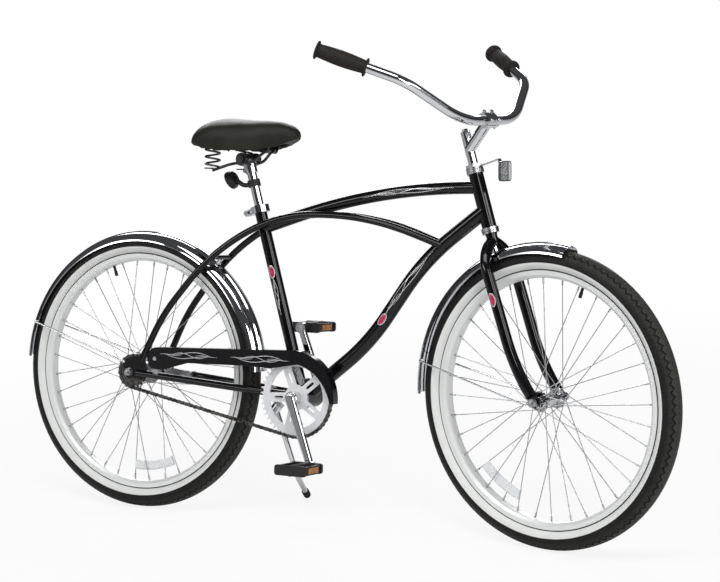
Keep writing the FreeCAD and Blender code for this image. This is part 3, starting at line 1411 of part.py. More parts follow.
def bottom_bracket_bearings():
    """Cups pressed into the shell, each with its ring of balls."""
    race = CRANK_CONE_RADIUS + 2 * BRACKET_BALL_RADIUS + 0.8
    fit = SHELL_BORE - 0.05
    low, high = SHELL_HALF_WIDTH - 9, SHELL_HALF_WIDTH
    cup = turned(
        (race, low), (fit, low), (fit, high), (SHELL_RADIUS, high), (SHELL_RADIUS, high + 2.5),
        (CRANK_CONE_RADIUS + 0.6, high + 2.5), (CRANK_CONE_RADIUS + 0.6, high), (race, high),
    )
    pitch = CRANK_CONE_RADIUS + 0.4 + BRACKET_BALL_RADIUS
    ball = Part.makeSphere(BRACKET_BALL_RADIUS, Vec(pitch, high - BRACKET_BALL_RADIUS - 0.4, 0))
    right = group(cup, *spun(ball, BRACKET_BALLS))
    return group(right, mirrored(right)).translated(BRACKET)


def pedal_centre(side):
    """Axis of one pedal where it crosses the middle of the bicycle."""
    angle = CRANK_ANGLE if side < 0 else CRANK_ANGLE + 180.0
    return BRACKET + polar(CRANK_LENGTH, angle)


def pedal_spindles():
    """Threaded spindles screwed into the crank eyes."""
    outside = CRANK_INNER + CRANK_THICKNESS
    collar = outside + PEDAL_GAP - 2.0
    end = outside + PEDAL_GAP + PEDAL_WIDTH - 4.0
    spindle = disc(PEDAL_THREAD_RADIUS, CRANK_INNER + 0.5, outside + 0.05)
    spindle = spindle.fuse(disc(PEDAL_THREAD_RADIUS + 2, outside + 0.05, collar))
    spindle = spindle.fuse(disc(PEDAL_SPINDLE_RADIUS, collar, end)).removeSplitter()
    return group(spindle.translated(pedal_centre(1)), mirrored(spindle).translated(pedal_centre(-1)))


def pedal(side):
    """Pedal body: barrel, two end plates and two tread rails."""
    low = CRANK_INNER + CRANK_THICKNESS + PEDAL_GAP
    high = low + PEDAL_WIDTH
    long, tall, wall = PEDAL_LENGTH / 2, PEDAL_HEIGHT / 2, PEDAL_WALL
    shape = disc(PEDAL_BARREL_RADIUS, low, high)
    for start in (low, high - wall):
        corner = tall * 0.55
        plate = hull_plate([
            (-long + corner, -tall + corner, corner), (long - corner, -tall + corner, corner),
            (long - corner, tall - corner, corner), (-long + corner, tall - corner, corner),
        ], start, start + wall)
        shape = shape.fuse(plate)
    for front in (-long + wall * 0.4, long - wall * 1.4):
        shape = shape.fuse(box(Vec(front, low, -tall + 2.0), Vec(front + wall, high, tall - 2.0)))
    cage = shape.removeSplitter().cut(disc(PEDAL_SPINDLE_RADIUS + SLIDE_CLEARANCE, low - 1, high - 3.0))
    if side < 0:
        cage = mirrored(cage)
    return cage.translated(pedal_centre(side))


# Chain guard

def guard_arc(radius, degrees):
    point = BRACKET + polar(radius, degrees)
    return point.x, point.z


def guard_top():
    """Where the guard's straight top edge meets its round front."""
    return guard_arc(GUARD_FRONT_RADIUS, 93.0)


def chain_guard():
    """Pressed side plate with a flange that covers the top of the chain."""
    face = -GUARD_Y
    front_end = guard_arc(GUARD_FRONT_RADIUS, GUARD_FRONT_END)
    wire = outline(
        flat_xz, GUARD_TAIL_TOP, guard_top(),
        (guard_arc(GUARD_FRONT_RADIUS, 45.0), front_end), guard_arc(GUARD_FRONT_INNER, GUARD_FRONT_END),
        (GUARD_LIP_VIA, GUARD_LIP), *reversed(GUARD_WAIST), GUARD_TAIL_FOOT, (GUARD_TAIL, GUARD_TAIL_TOP),
    )
    plate = Part.Face(wire).extrude(Vec(0, -GUARD_SHEET, 0)).translated(Vec(0, face, 0))
    inner = GUARD_FRONT_RADIUS - GUARD_SHEET
    inner_top = (guard_top()[0], guard_top()[1] - GUARD_SHEET)
    strip = outline(
        flat_xz, GUARD_TAIL_TOP, guard_top(), (guard_arc(GUARD_FRONT_RADIUS, 45.0), front_end),
        guard_arc(inner, GUARD_FRONT_END), (guard_arc(inner, 45.0), inner_top),
        (GUARD_TAIL_TOP[0], GUARD_TAIL_TOP[1] - GUARD_SHEET),
    )
    flange = Part.Face(strip).extrude(Vec(0, GUARD_FLANGE, 0)).translated(Vec(0, face, 0))
    screw = disc(GUARD_SCREW_RADIUS + 0.1, face - 2 * GUARD_SHEET, face + 1, flat_xz(*GUARD_SCREW))
    return plate.fuse(flange).removeSplitter().cut(screw)


def guard_fixings():
    """Rear strap and screw, and the front tab with its boss and screw."""
    face = -GUARD_Y
    strap_low, strap_high = face + 0.05, -DROPOUT_INNER - DROPOUT_THICKNESS - 0.05
    screw_x, screw_z = GUARD_SCREW
    strap = hull_plate([(screw_x, AXLE_HEIGHT, 8.0), (screw_x, screw_z, 8.0)], strap_low, strap_high)
    middle = flat_xz(*GUARD_SCREW)
    stay = mirrored(pipe(chain_stay_points(), [CHAIN_STAY_BEND], CHAIN_STAY_RADIUS))
    strap = strap.cut(disc(GUARD_SCREW_RADIUS + 0.1, strap_low - 1, strap_high + 1, middle)).cut(stay)
    strap = max(strap.Solids, key=lambda solid: solid.BoundBox.ZMax)
    head_high = face - GUARD_SHEET - 0.05
    screw = disc(GUARD_SCREW_RADIUS, head_high, strap_high, middle)
    screw = screw.fuse(disc(5.0, head_high - 2.5, head_high, middle)).removeSplitter()
    tab_low, tab_high = -GUARD_TAB_Y, -GUARD_TAB_Y + GUARD_SHEET
    tab_x, tab_z = GUARD_TAB
    top_x = guard_top()[0] - 16.0
    run = guard_top()[0] - GUARD_TAIL_TOP[0]
    rise = (guard_top()[1] - GUARD_TAIL_TOP[1]) / run
    under = guard_top()[1] - 16.0 * rise - GUARD_SHEET - 0.6
    tab = hull_plate([(tab_x, tab_z, 9.0), (top_x, under - 9.0, 9.0)], tab_low, tab_high)
    foot = box(Vec(top_x - 9, face + 3.0, under - GUARD_SHEET), Vec(top_x + 9, tab_high, under))
    tab = tab.fuse(foot).removeSplitter()
    place = flat_xz(*GUARD_TAB)
    boss = disc(6.0, tab_high + 0.05, -2.0, place)
    boss = largest(boss.cut(down_core()).cut(seat_core()).cut(shell_core()))
    front_screw = disc(5.0, tab_low - 2.5, tab_low - 0.05, place)
    return group(strap, screw, tab, boss, front_screw)


# Fenders

def fender_profile(shift):
    """Half-domed fender line with a raised ridge along the crest, from side to side."""
    crest = FENDER_CREST - shift
    half = FENDER_HALF_WIDTH - shift * 0.7
    low = FENDER_CREST - FENDER_DEPTH
    ridge, rise = FENDER_RIDGE_HALF_WIDTH, FENDER_RIDGE_HEIGHT
    shoulder = (crest - rise - 0.6, ridge + 2.5)
    bulge = (crest - rise - 6.5, half - 7.5)
    return low, half, crest, shoulder, bulge, (crest - 0.8, ridge)


def fender(angles, centre):
    """Sheet-metal arch between two angles about a centre near the axle, which lies at the origin."""
    low, half, crest, shoulder, bulge, ridge = fender_profile(0.0)
    _, half_in, crest_in, shoulder_in, bulge_in, ridge_in = fender_profile(FENDER_SHEET)

    def far(point):
        return point[0], -point[1]

    wire = outline(
        flat_xy, (low, -half), (far(bulge), far(shoulder)), far(ridge), ((crest, 0.0), ridge), shoulder,
        (bulge, (low, half)), (low, half_in), (bulge_in, shoulder_in), ridge_in,
        ((crest_in, 0.0), far(ridge_in)), far(shoulder_in), (far(bulge_in), (low, -half_in)),
    )
    start, end = angles
    arch = Part.Face(wire).revolve(Vec(0, 0, 0), Vec(0, 1, 0), end - start)
    return arch.rotated(Vec(0, 0, 0), Vec(0, 1, 0), -end).translated(flat_xz(*centre))


def stay_end(angle, centre):
    """Where a wire stay meets the side of the fender."""
    out = polar(FENDER_CREST - FENDER_DEPTH + 6.0, angle, FENDER_HALF_WIDTH + FENDER_STAY_RADIUS + 1.0)
    return out + flat_xz(*centre)


def stay_bolt(end, arch):
    """Bolt that holds a stay to the fender, seated on the fender's outside."""
    low = FENDER_HALF_WIDTH - 6.0
    bolt = disc(STAY_BOLT_RADIUS, low, end.y - FENDER_STAY_RADIUS - 0.05, Vec(end.x, 0, end.z))
    return max(bolt.cut(arch).Solids, key=lambda solid: solid.BoundBox.YMax)


def rear_fender_fixings():
    """Two wire stays with bolts, and the bolt and spacer at the stay bridge."""
    arch = fender(REAR_FENDER_ANGLES, REAR_FENDER_CENTRE)
    outside = DROPOUT_INNER + DROPOUT_THICKNESS
    start = Vec(EYELET_PLACE[0], outside + FENDER_STAY_RADIUS + 0.1, EYELET_PLACE[1])
    end = stay_end(REAR_STAY_ANGLE, REAR_FENDER_CENTRE)
    wire = rod(FENDER_STAY_RADIUS, start, end).fuse(Part.makeSphere(FENDER_STAY_RADIUS, end))
    low = DROPOUT_INNER + 0.2
    bolt = disc(EYELET_BOLT_RADIUS - 0.1, low, start.y - FENDER_STAY_RADIUS + 0.4, Vec(start.x, 0, start.z))
    wire = wire.fuse(Part.makeSphere(FENDER_STAY_RADIUS * 1.6, start))
    plate_cut = box(Vec(-60, 0, -60), Vec(60, DROPOUT_INNER + DROPOUT_THICKNESS + 0.05, 60))
    wire = largest(wire.cut(plate_cut))
    bolt = bolt.cut(wire)
    side = group(wire, bolt, stay_bolt(end, arch))
    bridge = bridge_middle() - REAR_AXLE
    centre = flat_xz(*REAR_FENDER_CENTRE)
    outward = (bridge - centre).normalize()
    spacer_top = bridge - outward * (STAY_BRIDGE_RADIUS + 0.05)
    spacer = rod(5.0, centre + outward * (FENDER_CREST - 8.0), spacer_top).cut(arch)
    spacer = max(spacer.Solids, key=lambda solid: solid.CenterOfMass.Length)
    return group(side, mirrored(side), spacer).translated(REAR_AXLE)


def front_fender_fixings():
    """Two wire stays from the axle, their bolts, and the bracket under the crown."""
    arch = fender(FRONT_FENDER_ANGLES, FRONT_FENDER_CENTRE)
    eye_low = BLADE_OFFSET + FORK_END_THICKNESS / 2 + 0.05
    eye_high = eye_low + 2 * FENDER_STAY_RADIUS - 0.1
    eye = ring(WASHER_RADIUS - 0.5, AXLE_RADIUS + 0.05, eye_low, eye_high)
    end = stay_end(FRONT_STAY_ANGLE, FRONT_FENDER_CENTRE)
    middle = Vec(0, (eye_low + eye_high) / 2, 0)
    via = middle + polar(FRONT_STAY_CRANK, FRONT_STAY_CRANK_ANGLE)
    root = middle + (via - middle).normalize() * (AXLE_RADIUS + 2)
    thin = FENDER_STAY_RADIUS - 0.2
    wire = pipe([root, via, end], [FRONT_STAY_BEND], thin)
    wire = wire.fuse(Part.makeSphere(thin, end)).fuse(eye)
    keep_out = box(Vec(-60, 0, -60), Vec(60, eye_low, 60))
    side = group(wire.removeSplitter().cut(keep_out), stay_bolt(end, arch))
    crown = Vec(0, 0, -STEERER_FOOT) - FRONT_AXLE
    centre_x, centre_z = FRONT_FENDER_CENTRE
    top = Vec(crown.x, 0, crown.z - 0.1)
    low = Vec(crown.x, 0, centre_z + math.sqrt(FENDER_CREST**2 - (crown.x - centre_x) ** 2) - 8.0)
    blade = pipe(blade_points(), [BLADE_SHOULDER_BEND, BLADE_BEND], BLADE_RADIUS).translated(-FRONT_AXLE)
    hanger = rod(7.0, low, top).cut(arch).cut(blade).cut(mirrored(blade))
    hanger = largest(hanger)
    return group(side, mirrored(side), hanger).translated(FRONT_AXLE)


# Kickstand

def stand_foot():
    """Middle of the rubber foot's round end, which stands on the leaned ground."""
    lean = math.radians(PARK_LEAN)
    sag = TYRE_WIDTH / 2 * (1 - math.cos(lean))
    x, y = STAND_FOOT
    return Vec(x, y, (STAND_FOOT_RADIUS - sag + y * math.sin(lean)) / math.cos(lean))


def stand_axis():
    return Vec(*STAND_AXIS).normalize()


def stand_end():
    """Direction of the leg where it enters the foot."""
    return (stand_foot() - Vec(*STAND_KNEE)).normalize()


def kickstand_bracket():
    """Block bolted under the stay plate, with a slanted pin for the leg."""
    pivot = Vec(*STAND_PIVOT)
    plate = stand_plate_low()
    long, wide, tall = STAND_BLOCK
    block = box(
        Vec(pivot.x - long / 2, -wide / 2, plate.z - tall), Vec(pivot.x + long / 2, wide / 2, plate.z - 0.05)
    )
    axis = stand_axis()
    half = STAND_HUB_LENGTH / 2
    top = pivot + axis * (half + 0.4)
    pin = rod(STAND_PIN_RADIUS, pivot - axis * (half + 4.0), pivot + axis * (half + 6.0))
    collar = rod(STAND_HUB_RADIUS, top, top + axis * 8.0)
    cap = rod(STAND_CAP_RADIUS, pivot - axis * (half + 4.0), pivot - axis * (half + 0.4))
    hub_room = rod(STAND_HUB_RADIUS + 0.6, pivot - axis * (half + 6.0), top)
    body = block.cut(hub_room).fuse(collar).fuse(pin).fuse(cap).removeSplitter()
    plate_room = box(plate - Vec(20, 0, 0.05), stand_plate_high() + Vec(20, 0, 0))
    body = largest(body.cut(plate_room).cut(stand_bolt_hole()))
    bolt_top = stand_plate_high().z + 0.05
    bolt_foot = Vec(pivot.x, 0, plate.z - 10.0)
    bolt = Part.makeCylinder(STAND_PIN_RADIUS - 0.6, bolt_top - bolt_foot.z, bolt_foot)
    head = upright_nut(NUT_ACROSS, bolt_top, bolt_top + NUT_HEIGHT - 1, 0.5).translated(Vec(pivot.x, 0, 0))
    return group(body, bolt.fuse(head).removeSplitter())


def kickstand_leg():
    """Leg that drops past the pedals and then kicks out to the side."""
    pivot, knee, foot = Vec(*STAND_PIVOT), Vec(*STAND_KNEE), stand_foot()
    axis = stand_axis()
    half = STAND_HUB_LENGTH / 2
    start = pivot + (knee - pivot).normalize() * (STAND_PIN_RADIUS + 2.0)
    leg = pipe([start, knee, foot], [STAND_BEND], STAND_LEG_RADIUS)
    hub = rod(STAND_HUB_RADIUS, pivot - axis * half, pivot + axis * half)
    hole = rod(STAND_PIN_RADIUS + STAND_FIT, pivot - axis * 2 * half, pivot + axis * 2 * half)
    shape = leg.fuse(hub).cut(hole)
    keep = rod(STAND_HUB_RADIUS + 3.0, pivot + axis * half, pivot + axis * 3 * half)
    cap_room = rod(STAND_CAP_RADIUS + 0.5, pivot - axis * half, pivot - axis * 3 * half)
    return largest(shape.cut(keep).cut(cap_room).cut(foot_core()))


def foot_core():
    """Outline of the rubber foot."""
    foot = stand_foot()
    start = foot - stand_end() * STAND_FOOT_LENGTH
    return rod(STAND_FOOT_RADIUS, start, foot).fuse(Part.makeSphere(STAND_FOOT_RADIUS, foot))


def kickstand_foot():
    return foot_core().removeSplitter()


# Seat post and saddle

def seat_post():
    """Post with the clamp head on its top."""
    post = placed(upright_ring(POST_RADIUS, POST_RADIUS - POST_WALL, POST_FOOT, POST_TOP), SEAT)
    middle = saddle_clamp_middle()
    half = SADDLE_CLAMP_HALF_WIDTH
    barrel = disc(SADDLE_CLAMP_RADIUS, -half, half, middle)
    low = SADDLE_CLAMP_HEIGHT - SADDLE_COLLAR_LENGTH
    collar = Part.makeCylinder(POST_RADIUS + 3.5, SADDLE_COLLAR_LENGTH, Vec(0, 0, low))
    room = placed(Part.makeCylinder(POST_RADIUS + 0.03, POST_TOP + 0.05), SEAT)
    bolt = disc(SADDLE_BOLT_RADIUS + SLIDE_CLEARANCE, -2 * half, 2 * half, middle)
    head = barrel.fuse(placed(collar, SEAT)).removeSplitter().cut(room).cut(bolt)
    return group(post, head)


def seat_clamp():
    """Split collar round the top of the seat tube, with its bolt and nut behind."""
    high = SEAT_TUBE_LENGTH - 2.0
    low = high - SEAT_COLLAR_HEIGHT
    middle = (low + high) / 2
    fit = SEAT_TUBE_RADIUS + 0.05
    collar = upright_ring(SEAT_COLLAR_RADIUS, fit, low, high)
    ear = SEAT_COLLAR_RADIUS + SEAT_EAR_REACH
    ears = box(Vec(-ear, -9.0, low + 1.5), Vec(-fit + 2, 9.0, high - 1.5))
    ears = ears.cut(Part.makeCylinder(fit, 2 * high))
    slot = box(Vec(-2 * ear, -1.5, low - 1), Vec(0, 1.5, high + 1))
    hole = Part.makeCylinder(3.1, 60.0, Vec(-ear + 5.5, -30.0, middle), Vec(0, 1, 0))
    collar = collar.fuse(ears).removeSplitter().cut(slot).cut(hole)
    bolt = Part.makeCylinder(3.0, 18.2, Vec(-ear + 5.5, -9.1, middle), Vec(0, 1, 0))
    heads = [Part.makeCylinder(5.5, 5.0, Vec(-ear + 5.5, y, middle), Vec(0, 1, 0)) for y in (-14.1, 9.1)]
    bolt = bolt.fuse(heads[0]).fuse(heads[1]).removeSplitter()
    return placed(group(collar, bolt), SEAT)


def saddle_clamp_middle():
    return SEAT.multVec(Vec(0, 0, SADDLE_CLAMP_HEIGHT))


def saddle_wire_points():
    """Left wire of the saddle frame: spring cup, clamp, pivot."""
    clamp = saddle_clamp_middle()
    x, y = SPRING_PLACE
    pivot = Vec(SADDLE_PIVOT[0], SADDLE_EYE_OFFSET, SADDLE_PIVOT[1])
    cup = Vec(x, y, SPRING_FOOT_HEIGHT - SPRING_WIRE_RADIUS - SPRING_CUP_THICKNESS - SADDLE_WIRE_RADIUS)
    behind = Vec(clamp.x - 24.0, SADDLE_WIRE_OFFSET, clamp.z + SADDLE_WIRE_RISE)
    ahead = Vec(clamp.x + 22.0, SADDLE_WIRE_OFFSET, clamp.z + SADDLE_WIRE_RISE)
    return [cup, behind, ahead, pivot]


def saddle_pin():
    x, z = SADDLE_PIVOT
    half = SADDLE_EAR_OFFSET + SADDLE_EAR_THICKNESS + 2.0
    return disc(SADDLE_PIN_RADIUS, -half, half, Vec(x, 0, z))


def saddle_frame():
    """Two bent wires, each with a spring cup behind and a pivot eye in front."""
    points = saddle_wire_points()
    wire = pipe(points, [40.0, 40.0], SADDLE_WIRE_RADIUS)
    x, z = SADDLE_PIVOT
    low, high = SADDLE_EYE_OFFSET - SADDLE_EYE_HALF_WIDTH, SADDLE_EYE_OFFSET + SADDLE_EYE_HALF_WIDTH
    eye = disc(SADDLE_WIRE_RADIUS + 4.0, low, high, Vec(x, 0, z))
    cup_top = SPRING_FOOT_HEIGHT - SPRING_WIRE_RADIUS - 0.05
    cup_place = Vec(points[0].x, points[0].y, cup_top - SPRING_CUP_THICKNESS)
    cup = Part.makeCylinder(SPRING_RADIUS + SPRING_WIRE_RADIUS, SPRING_CUP_THICKNESS, cup_place)
    left = wire.fuse(eye).fuse(cup).removeSplitter()
    left = left.cut(disc(SADDLE_PIN_RADIUS + SLIDE_CLEARANCE, 0.0, 60.0, Vec(x, 0, z)))
    return group(left, mirrored(left))


def saddle_clamp():
    """Cheeks that grip both wires, with their cross bolt and nuts."""
    middle = saddle_clamp_middle()
    inner = SADDLE_CLAMP_HALF_WIDTH + 0.05
    outer = SADDLE_WIRE_OFFSET + SADDLE_WIRE_RADIUS + 4.0
    end = outer + 6.0
    fit = SADDLE_BOLT_RADIUS + 0.03
    cheek = disc(SADDLE_CLAMP_RADIUS + 1.5, inner, outer, middle).cut(disc(fit, 0.0, 2 * outer, middle))
    cheek = largest(cheek.cut(pipe(saddle_wire_points(), [40.0, 40.0], SADDLE_WIRE_RADIUS + 0.05)))
    nut = hexagon(NUT_ACROSS, outer + 0.05, end, fit, middle)
    bolt = disc(SADDLE_BOLT_RADIUS, -end - 1.0, end + 1.0, middle)
    return group(cheek, mirrored(cheek), nut, mirrored(nut), bolt)


def helix_point(turn):
    """Point and unit tangent of the spring's middle line, by turns from its foot."""
    rise = spring_height() / SPRING_TURNS
    angle = 2 * math.pi * turn
    point = Vec(SPRING_RADIUS * math.cos(angle), SPRING_RADIUS * math.sin(angle), rise * turn)
    tangent = Vec(-SPRING_RADIUS * math.sin(angle), SPRING_RADIUS * math.cos(angle), rise / (2 * math.pi))
    return point, tangent.normalize()


def pan_floor():
    """Underside of the saddle pan at the front edge of the springs, where it is lowest."""
    return pan_heights(SPRING_PLACE[0] + SPRING_RADIUS + SPRING_WIRE_RADIUS)[0]


def spring_height():
    """Height of the spring's middle line between the cup and the pan."""
    return pan_floor() - SOFT_GAP - SPRING_WIRE_RADIUS - SPRING_FOOT_HEIGHT


def arc_from(start, tangent, end):
    """Arc between two points that leaves the first along a tangent."""
    chord = end - start
    reach = chord.Length / 2
    half = tangent.getAngle(chord)
    corner = start + tangent * (reach / math.cos(half))
    middle = (start + end) * 0.5
    inward = corner - middle
    bulge = reach * math.tan(half / 2)
    return Part.Arc(start, middle + inward.normalize() * bulge, end).toShape()


def spring_path():
    """Biarcs of a quarter turn each along the helix."""
    edges = []
    quarters = 4 * SPRING_TURNS
    for quarter in range(quarters):
        start, leave = helix_point(quarter / 4.0)
        end, arrive = helix_point((quarter + 1) / 4.0)
        span = end - start
        both = leave + arrive
        spread = 2 * (1 - leave.dot(arrive))
        along = span.dot(both)
        reach = (-along + math.sqrt(along**2 + spread * span.dot(span))) / spread
        join = (start + end) * 0.5 + (leave - arrive) * (reach / 2)
        edges.append(arc_from(start, leave, join))
        ahead = (end - arrive * reach - (start + leave * reach)).normalize()
        edges.append(arc_from(join, ahead, end))
    return Part.Wire(edges)


def saddle_springs():
    """Two coil springs under the back of the saddle."""
    start, leave = helix_point(0.0)
    circle = Part.Wire(Part.Circle(start, leave, SPRING_WIRE_RADIUS).toShape())
    coil = spring_path().makePipeShell([circle], True, False)
    x, y = SPRING_PLACE
    left = coil.translated(Vec(x, y, SPRING_FOOT_HEIGHT))
    return group(left, mirrored(left))


def spring_self_gap():
    """Least gap between neighbouring turns, measured on points of the middle line."""
    steps = 48
    points = [helix_point(k / steps)[0] for k in range(steps * SPRING_TURNS + 1)]
    pairs = [(a, b) for a in range(len(points)) for b in range(a + steps // 2, len(points))]
    least = min((points[a] - points[b]).Length for a, b in pairs)
    return least - 2 * SPRING_WIRE_RADIUS


def saddle_section(x, half, crown, skirt):
    """Closed cross-section: flat foot, drawn-in sides and a crowned top."""
    tall = crown - skirt

    def lift(y, z):
        return Vec(x, y, z)

    foot = half * 0.93
    belly = skirt + 0.42 * tall
    shoulder = (half * 0.62, crown - 0.09 * tall)
    return outline(
        lift, (-foot, skirt), (foot, skirt), ((half, belly), shoulder),
        ((0.0, crown), (-shoulder[0], shoulder[1])), ((-half, belly), (-foot, skirt)),
    )


def station_at(x):
    """Half width, crown and skirt of the saddle at a distance, between stations."""
    for near, far in zip(SADDLE_STATIONS, SADDLE_STATIONS[1:]):
        if near[0] <= x <= far[0]:
            share = (x - near[0]) / (far[0] - near[0])
            return [a + share * (b - a) for a, b in zip(near[1:], far[1:])]
    return list(SADDLE_STATIONS[-1][1:])


def pan_heights(x):
    """Lower and upper face of the pan, under the foam."""
    _, crown, _ = station_at(x)
    top = crown - FOAM_THICKNESS - SOFT_GAP
    return top - PAN_THICKNESS, top


def flat_section(x, half, low, high):
    """Rectangular cross-section at a distance."""
    return outline(lambda y, z: Vec(x, y, z), (-half, low), (half, low), (half, high), (-half, high))


def saddle_cover():
    """Padded cover: a crowned form with drawn-in sides, hollow below for the pan."""
    body = Part.makeLoft([saddle_section(*station) for station in SADDLE_STATIONS], True, False)
    hollow = []
    for x, half, crown, skirt in SADDLE_STATIONS[PAN_STATIONS]:
        hollow.append(flat_section(x, half - SKIRT_THICKNESS, skirt - FOAM_THICKNESS, crown - FOAM_THICKNESS))
    return largest(body.cut(Part.makeLoft(hollow, True, True)))


def saddle_base():
    """Pan under the foam, with two ears and the pivot pin below its nose."""
    sections = []
    for x, half, _, _ in SADDLE_STATIONS[PAN_STATIONS]:
        low, high = pan_heights(x)
        sections.append(flat_section(x, half - SKIRT_THICKNESS - SOFT_GAP, low, high))
    pan = Part.makeLoft(sections, True, True)
    x, z = SADDLE_PIVOT
    low = SADDLE_EAR_OFFSET
    high = low + SADDLE_EAR_THICKNESS
    top = pan_heights(x)[0] + PAN_THICKNESS / 2
    ear = hull_plate([(x, z, 8.0), (x + 16.0, top - 3.0, 3.0), (x - 16.0, top - 3.0, 3.0)], low, high)
    shape = pan.fuse(ear).fuse(mirrored(ear)).fuse(saddle_pin())
    return shape.removeSplitter()


# Rear reflector

def rear_reflector_frame():
    """Placement of the rear reflector: its Y axis along the bicycle, facing back and a little down."""
    place = flat_xz(*REAR_LENS_PLACE)
    turn = FreeCAD.Rotation(Vec(0, 1, 0), -REAR_LENS_TILT).multiply(FreeCAD.Rotation(Vec(0, 0, 1), 90))
    return FreeCAD.Placement(place, turn)


def rear_reflector():
    """Round red lens with a bevelled face."""
    r, t = REAR_LENS_RADIUS, REAR_LENS_THICKNESS
    lens = turned((0.0, 0.0), (r, 0.0), (r, t * 0.5), (r - t, t), (0.0, t))
    return placed(lens, rear_reflector_frame())


def rear_reflector_mount():
    """Cup behind the lens, an arm and a clamp round the seat post."""
    r = REAR_LENS_RADIUS
    rim_height = REAR_LENS_THICKNESS * 0.5
    cup = turned(
        (0.0, -REAR_CUP_DEPTH), (r - 3, -REAR_CUP_DEPTH), (r + 2, -4.0), (r + 2, rim_height), (r + 0.1, rim_height),
        (r + 0.1, -0.1), (0.0, -0.1),
    )
    cup = placed(cup, rear_reflector_frame())
    low, high = REAR_MOUNT_HEIGHT - 8.0, REAR_MOUNT_HEIGHT + 8.0
    band = placed(upright_ring(REAR_MOUNT_RADIUS, POST_RADIUS + 0.05, low, high), SEAT)
    post = placed(Part.makeCylinder(POST_RADIUS + 0.05, POST_TOP), SEAT)
    back = rear_reflector_frame().multVec(Vec(0, -REAR_CUP_DEPTH + 3.0, 0))
    grip = SEAT.multVec(Vec(0, 0, REAR_MOUNT_HEIGHT))
    dip = (back + grip) * 0.5 - Vec(0, 0, REAR_ARM_DIP)
    arm = pipe([back, dip, grip], [2 * REAR_ARM_DIP], REAR_ARM_RADIUS)
    shape = cup.fuse(arm).fuse(band).removeSplitter().cut(post)
    return largest(shape.cut(rear_reflector()))


# Whole bicycle

def rear_nodes():
    """Nodes that are drawn in the frame of the bicycle."""
    nodes = {
        "head_tube": head_tube(), "top_tube": top_tube(), "down_tube": down_tube(), "seat_tube": seat_tube(),
        "bottom_bracket_shell": bottom_bracket_shell(), "twin_tubes": twin_tubes(),
        "chain_stays": chain_stays(), "rear_dropouts": rear_dropouts(),
        "headset_bearings": headset_bearings(), "bottom_bracket_bearings": bottom_bracket_bearings(),
        "seat_clamp": seat_clamp(), "chain_guard": chain_guard(), "guard_fixings": guard_fixings(),
        "rear_fender": fender(REAR_FENDER_ANGLES, REAR_FENDER_CENTRE).translated(REAR_AXLE),
        "rear_fender_fixings": rear_fender_fixings(), "rear_axle": rear_axle(), "brake_arm": brake_arm(),
        "coaster_brake_shoes": coaster_brake_shoes(), "chain": chain(),
        "kickstand_bracket": kickstand_bracket(), "kickstand_leg": kickstand_leg(),
        "kickstand_foot": kickstand_foot(), "rear_sprocket": rear_sprocket(), "crank": crank(),
        "chainring": chainring(), "pedal_spindles": pedal_spindles(), "pedal_left": pedal(1),
        "pedal_right": pedal(-1), "seat_post": seat_post(), "saddle_clamp": saddle_clamp(),
        "saddle_frame": saddle_frame(), "saddle_springs": saddle_springs(), "saddle_base": saddle_base(),
        "saddle_cover": saddle_cover(), "rear_reflector": rear_reflector(),
        "rear_reflector_mount": rear_reflector_mount(),
    }
    parts = wheel("rear", REAR_VALVE_ANGLE, rear_flange(), rear_hub(), REAR_REFLECTOR_ANGLE)
    for name, shape in parts.items():
        nodes[name] = shape.translated(REAR_AXLE)
    return nodes


def front_nodes():
    """Nodes that turn with the fork, drawn in the fork's frame."""
    nodes = {
        "fork_steerer": fork_steerer(), "fork_blades": fork_blades(), "headset_top": headset_top(),
        "front_reflector": front_reflector(),
        "front_fender": fender(FRONT_FENDER_ANGLES, FRONT_FENDER_CENTRE).translated(FRONT_AXLE),
        "front_fender_fixings": front_fender_fixings(), "front_axle": front_axle(), "stem": stem(),
        "stem_fixings": stem_fixings(), "handlebar": handlebar(), "grip_left": grip_left(),
        "grip_right": mirrored(grip_left()),
    }
    parts = wheel("front", FRONT_VALVE_ANGLE, front_flange(), front_hub(), FRONT_REFLECTOR_ANGLE)
    for name, shape in parts.items():
        nodes[name] = shape.translated(FRONT_AXLE)
    return nodes


def lean_placement():
    """Lean of the parked bicycle onto its stand."""
    return FreeCAD.Placement(Vec(0, 0, 0), FreeCAD.Rotation(Vec(1, 0, 0), -PARK_LEAN))


def fork_placement():
    """Fork's frame in the upright bicycle, turned by the parked steering angle."""
    return HEAD.multiply(FreeCAD.Placement(Vec(0, 0, 0), FreeCAD.Rotation(Vec(0, 0, 1), PARK_STEER)))


def leaned_nodes():
    """All nodes as they stand when parked, before the origin is set."""
    lean = lean_placement()
    turned_fork = lean.multiply(fork_placement())
    nodes = {name: placed(shape, lean) for name, shape in rear_nodes().items()}
    nodes.update({name: placed(shape, turned_fork) for name, shape in front_nodes().items()})
    return nodes


def origin_shift(nodes):
    """Move that puts the origin on the ground under the middle of the bicycle."""
    bounds = FreeCAD.BoundBox()
    for shape in nodes.values():
        bounds.add(shape.optimalBoundingBox(False, False))
    return Vec(-bounds.Center.x, -bounds.Center.y, -bounds.ZMin)


def main():
    os.makedirs("parts", exist_ok=True)
    nodes = leaned_nodes()
    shift = origin_shift(nodes)
    for name, shape in nodes.items():
        shape.translated(shift).exportStep(os.path.join("parts", name + ".step"))
    print("nodes", len(nodes), "shift", shift)
    print("spring self gap", round(spring_self_gap(), 2))


if __name__ == "__main__":
    main()
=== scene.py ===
# %% [markdown]
# # A beach cruiser bicycle
# The bicycle stands on its kickstand, leaning to its left, with the front wheel turned a little.
# Its metal comes from a CAD model that is loaded as a fixed frame. This lesson dresses that frame:
# it adds the moulded and padded pieces that solids show badly, and gives every surface its finish.

# %% Load the frame
import json

import bpy
import numpy as np
from mathutils import Matrix, Vector


